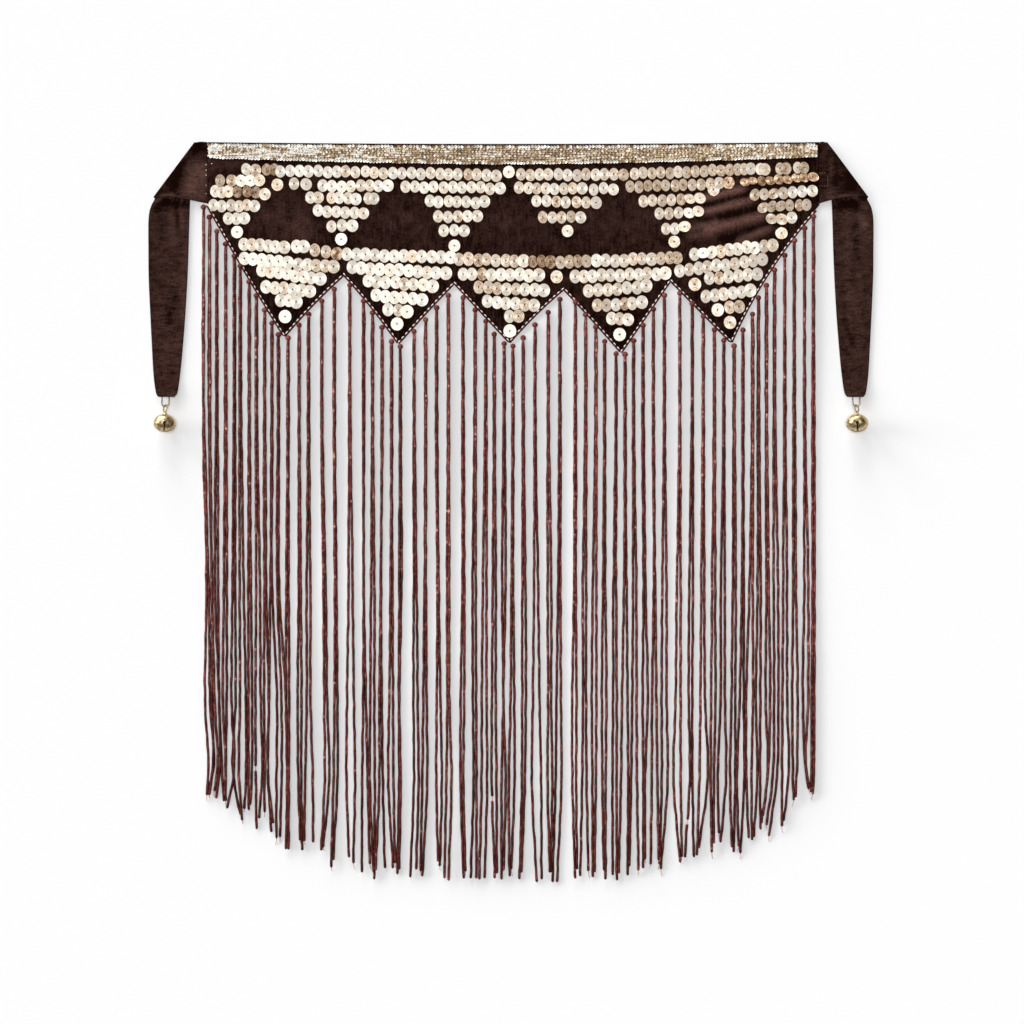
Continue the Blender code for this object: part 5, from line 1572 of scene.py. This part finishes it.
def make_stitches(pale, brown):
    """Hand stitches on the seams where the ties are sewn on."""
    unit = ball("stitch_unit", 6, 4)
    #   x  y  length  angle (mm, degrees)
    pale_stitches = [
        (-304.4, 347.0, 1.5, 90.0), (-304.4, 341.5, 1.5, 80.0), (-304.5, 336.5, 1.5, 95.0),
        (-298.9, 348.0, 1.6, 10.0), (-304.3, 326.5, 0.8, 90.0), (-304.4, 318.0, 0.8, 90.0),
    ]
    brown_stitches = []
    for step in range(5):
        brown_stitches.append((305.6 + 2.0 * step, 338.6, 1.3, 0.0))
        brown_stitches.append((306.6 + 2.2 * step, 325.4, 1.3, 0.0))
        brown_stitches.append((316.3, 335.0 - 2.1 * step, 1.3, 90.0))
    brown_stitches += [(310.5, 316.0, 1.0, 20.0), (307.0, 309.0, 1.0, 60.0)]
    for name, stitches, thickness, material in (
        ("seam_stitches_left", pale_stitches, 0.55, pale),
        ("seam_stitches_right", brown_stitches, 0.35, brown),
    ):
        places, shades = [], []
        for x, y, length, angle in stitches:
            seam = TIE_SEAM["right"] if x > 0.0 else TIE_SEAM["left"]
            height = PANEL_THICKNESS
            if abs(x) * MM > seam:
                height = tie_upper_height(abs(x) * MM, seam) + TIE_THICKNESS / 2 + 0.15 * MM
            turn = rotation(angle, "Z")
            size = Matrix.Diagonal((length / 2 * MM, thickness * MM, thickness * MM, 1.0))
            places.append(Matrix.Translation((x * MM, y * MM, height)) @ turn @ size)
            shades.append(0.5)
        stitched = show(name, many(name, unit, places, shades), material)
        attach(stitched, "belt")


# ------------------------------------------------------------ studio

CAMERA_HEIGHT = 3.0
CAMERA_X = 1.1 * MM
CAMERA_LENS = 105.5
CAMERA_SENSOR = 36.0
FLOOR_HALF = 40.0
FLOOR_BELOW = 0.05 * MM
FLOOR_COLOUR = (0.90, 0.90, 0.905, 1.0)
AMBIENT_STRENGTH = 0.16
# Large soft sources: one overhead, and a broad one from the upper left in three parts.
#   name  direction  elevation  softness (degrees)  strength
SOFT_LIGHTS = (
    ("overhead_light", 135.0, 90.0, 26.0, 1.70),
    ("side_light_1", 102.0, 14.0, 26.0, 1.73),
    ("side_light_2", 135.0, 14.0, 26.0, 1.73),
    ("side_light_3", 168.0, 14.0, 26.0, 1.73),
)


def make_studio():
    scene = bpy.context.scene
    camera = bpy.data.objects.new("camera", bpy.data.cameras.new("camera"))
    scene.collection.objects.link(camera)
    camera.location = (CAMERA_X, 0.0, CAMERA_HEIGHT)
    camera.data.sensor_width = CAMERA_SENSOR
    camera.data.lens = CAMERA_LENS
    scene.camera = camera

    bm = bmesh.new()
    bmesh.ops.create_grid(bm, x_segments=8, y_segments=8, size=FLOOR_HALF)
    paper = finish("studio_paper", Roughness=0.9, Base_Color=FLOOR_COLOUR)[0]
    floor = show("studio_floor", mesh_from(bm, "studio_floor"), paper)
    floor.location.z = -FLOOR_BELOW

    world = bpy.data.worlds.new("studio_world")
    world.use_nodes = True
    scene.world = world
    set_inputs(
        world.node_tree.nodes["Background"],
        Color=(1.0, 1.0, 1.0, 1.0), Strength=AMBIENT_STRENGTH,
    )

    for name, direction, elevation, softness, strength in SOFT_LIGHTS:
        light = bpy.data.lights.new(name, "SUN")
        light.energy = strength
        light.angle = math.radians(softness)
        lamp = bpy.data.objects.new(name, light)
        scene.collection.objects.link(lamp)
        around, up = math.radians(direction), math.radians(elevation)
        flat = math.cos(up)
        towards = Vector((flat * math.cos(around), flat * math.sin(around), math.sin(up)))
        lamp.rotation_euler = towards.to_track_quat("Z", "Y").to_euler()
    scene.view_settings.view_transform = "Standard"


# ------------------------------------------------------------ belt

make_studio()
pile = velvet_pile_group()
panel_velvet = velvet("panel_velvet", pile, 0.080, 0.36, 0.06)
tie_velvet = velvet("tie_velvet", pile, 0.185, 0.12, 0.55)
glass = beads_glass()
bell_brass = brass("bell_brass", 1.0)
wire_brass = brass("wire_brass", 0.62)
bell_inside_shade = plain("bell_inside_shade", (0.030, 0.018, 0.009), 0.8)
pearl_finish = pearl()

panel = make_panel(panel_velvet)
ties = {side: make_tie(side, tie_velvet) for side in SIDES}
tape = make_braid_tape(plain("braid_backing", (0.11, 0.066, 0.040), 0.8))
make_braid_sequins(braid_sequins())
disc_unit = ring_unit("paillette_unit", PAILLETTE_SECTION, PAILLETTE_STEPS)
make_paillettes(
    "paillettes_upper", UPPER_PAILLETTES, 41, disc_unit, UPPER_PAILLETTE_SIZE, pearl_finish
)
make_paillettes(
    "paillettes_lower", LOWER_PAILLETTES, 42, disc_unit, LOWER_PAILLETTE_SIZE, pearl_finish
)
fringe_roots = root_places()
thread_stops = ((0.0, (0.70, 0.55, 0.52)), (1.0, (0.45, 0.20, 0.18)))
make_fringe(fringe_roots, glass, shaded("thread_end", thread_stops, Roughness=0.7))
make_root_beads(fringe_roots, glass)
make_edging(plain("white_edging_bead", (1.0, 0.93, 0.90), 0.4, grain=0.05), glass)
for side in SIDES:
    make_bell(side, bell_brass, bell_inside_shade)
    make_bell_fittings(side, wire_brass, plain("pea_steel", (0.35, 0.34, 0.32), 0.35, 1.0))
make_seam_threads(plain("seam_thread", (0.020, 0.011, 0.009), 0.9))
make_stitches(
    plain("pale_thread", (0.80, 0.76, 0.72), 0.7), plain("brown_thread", (0.16, 0.09, 0.06), 0.7)
)
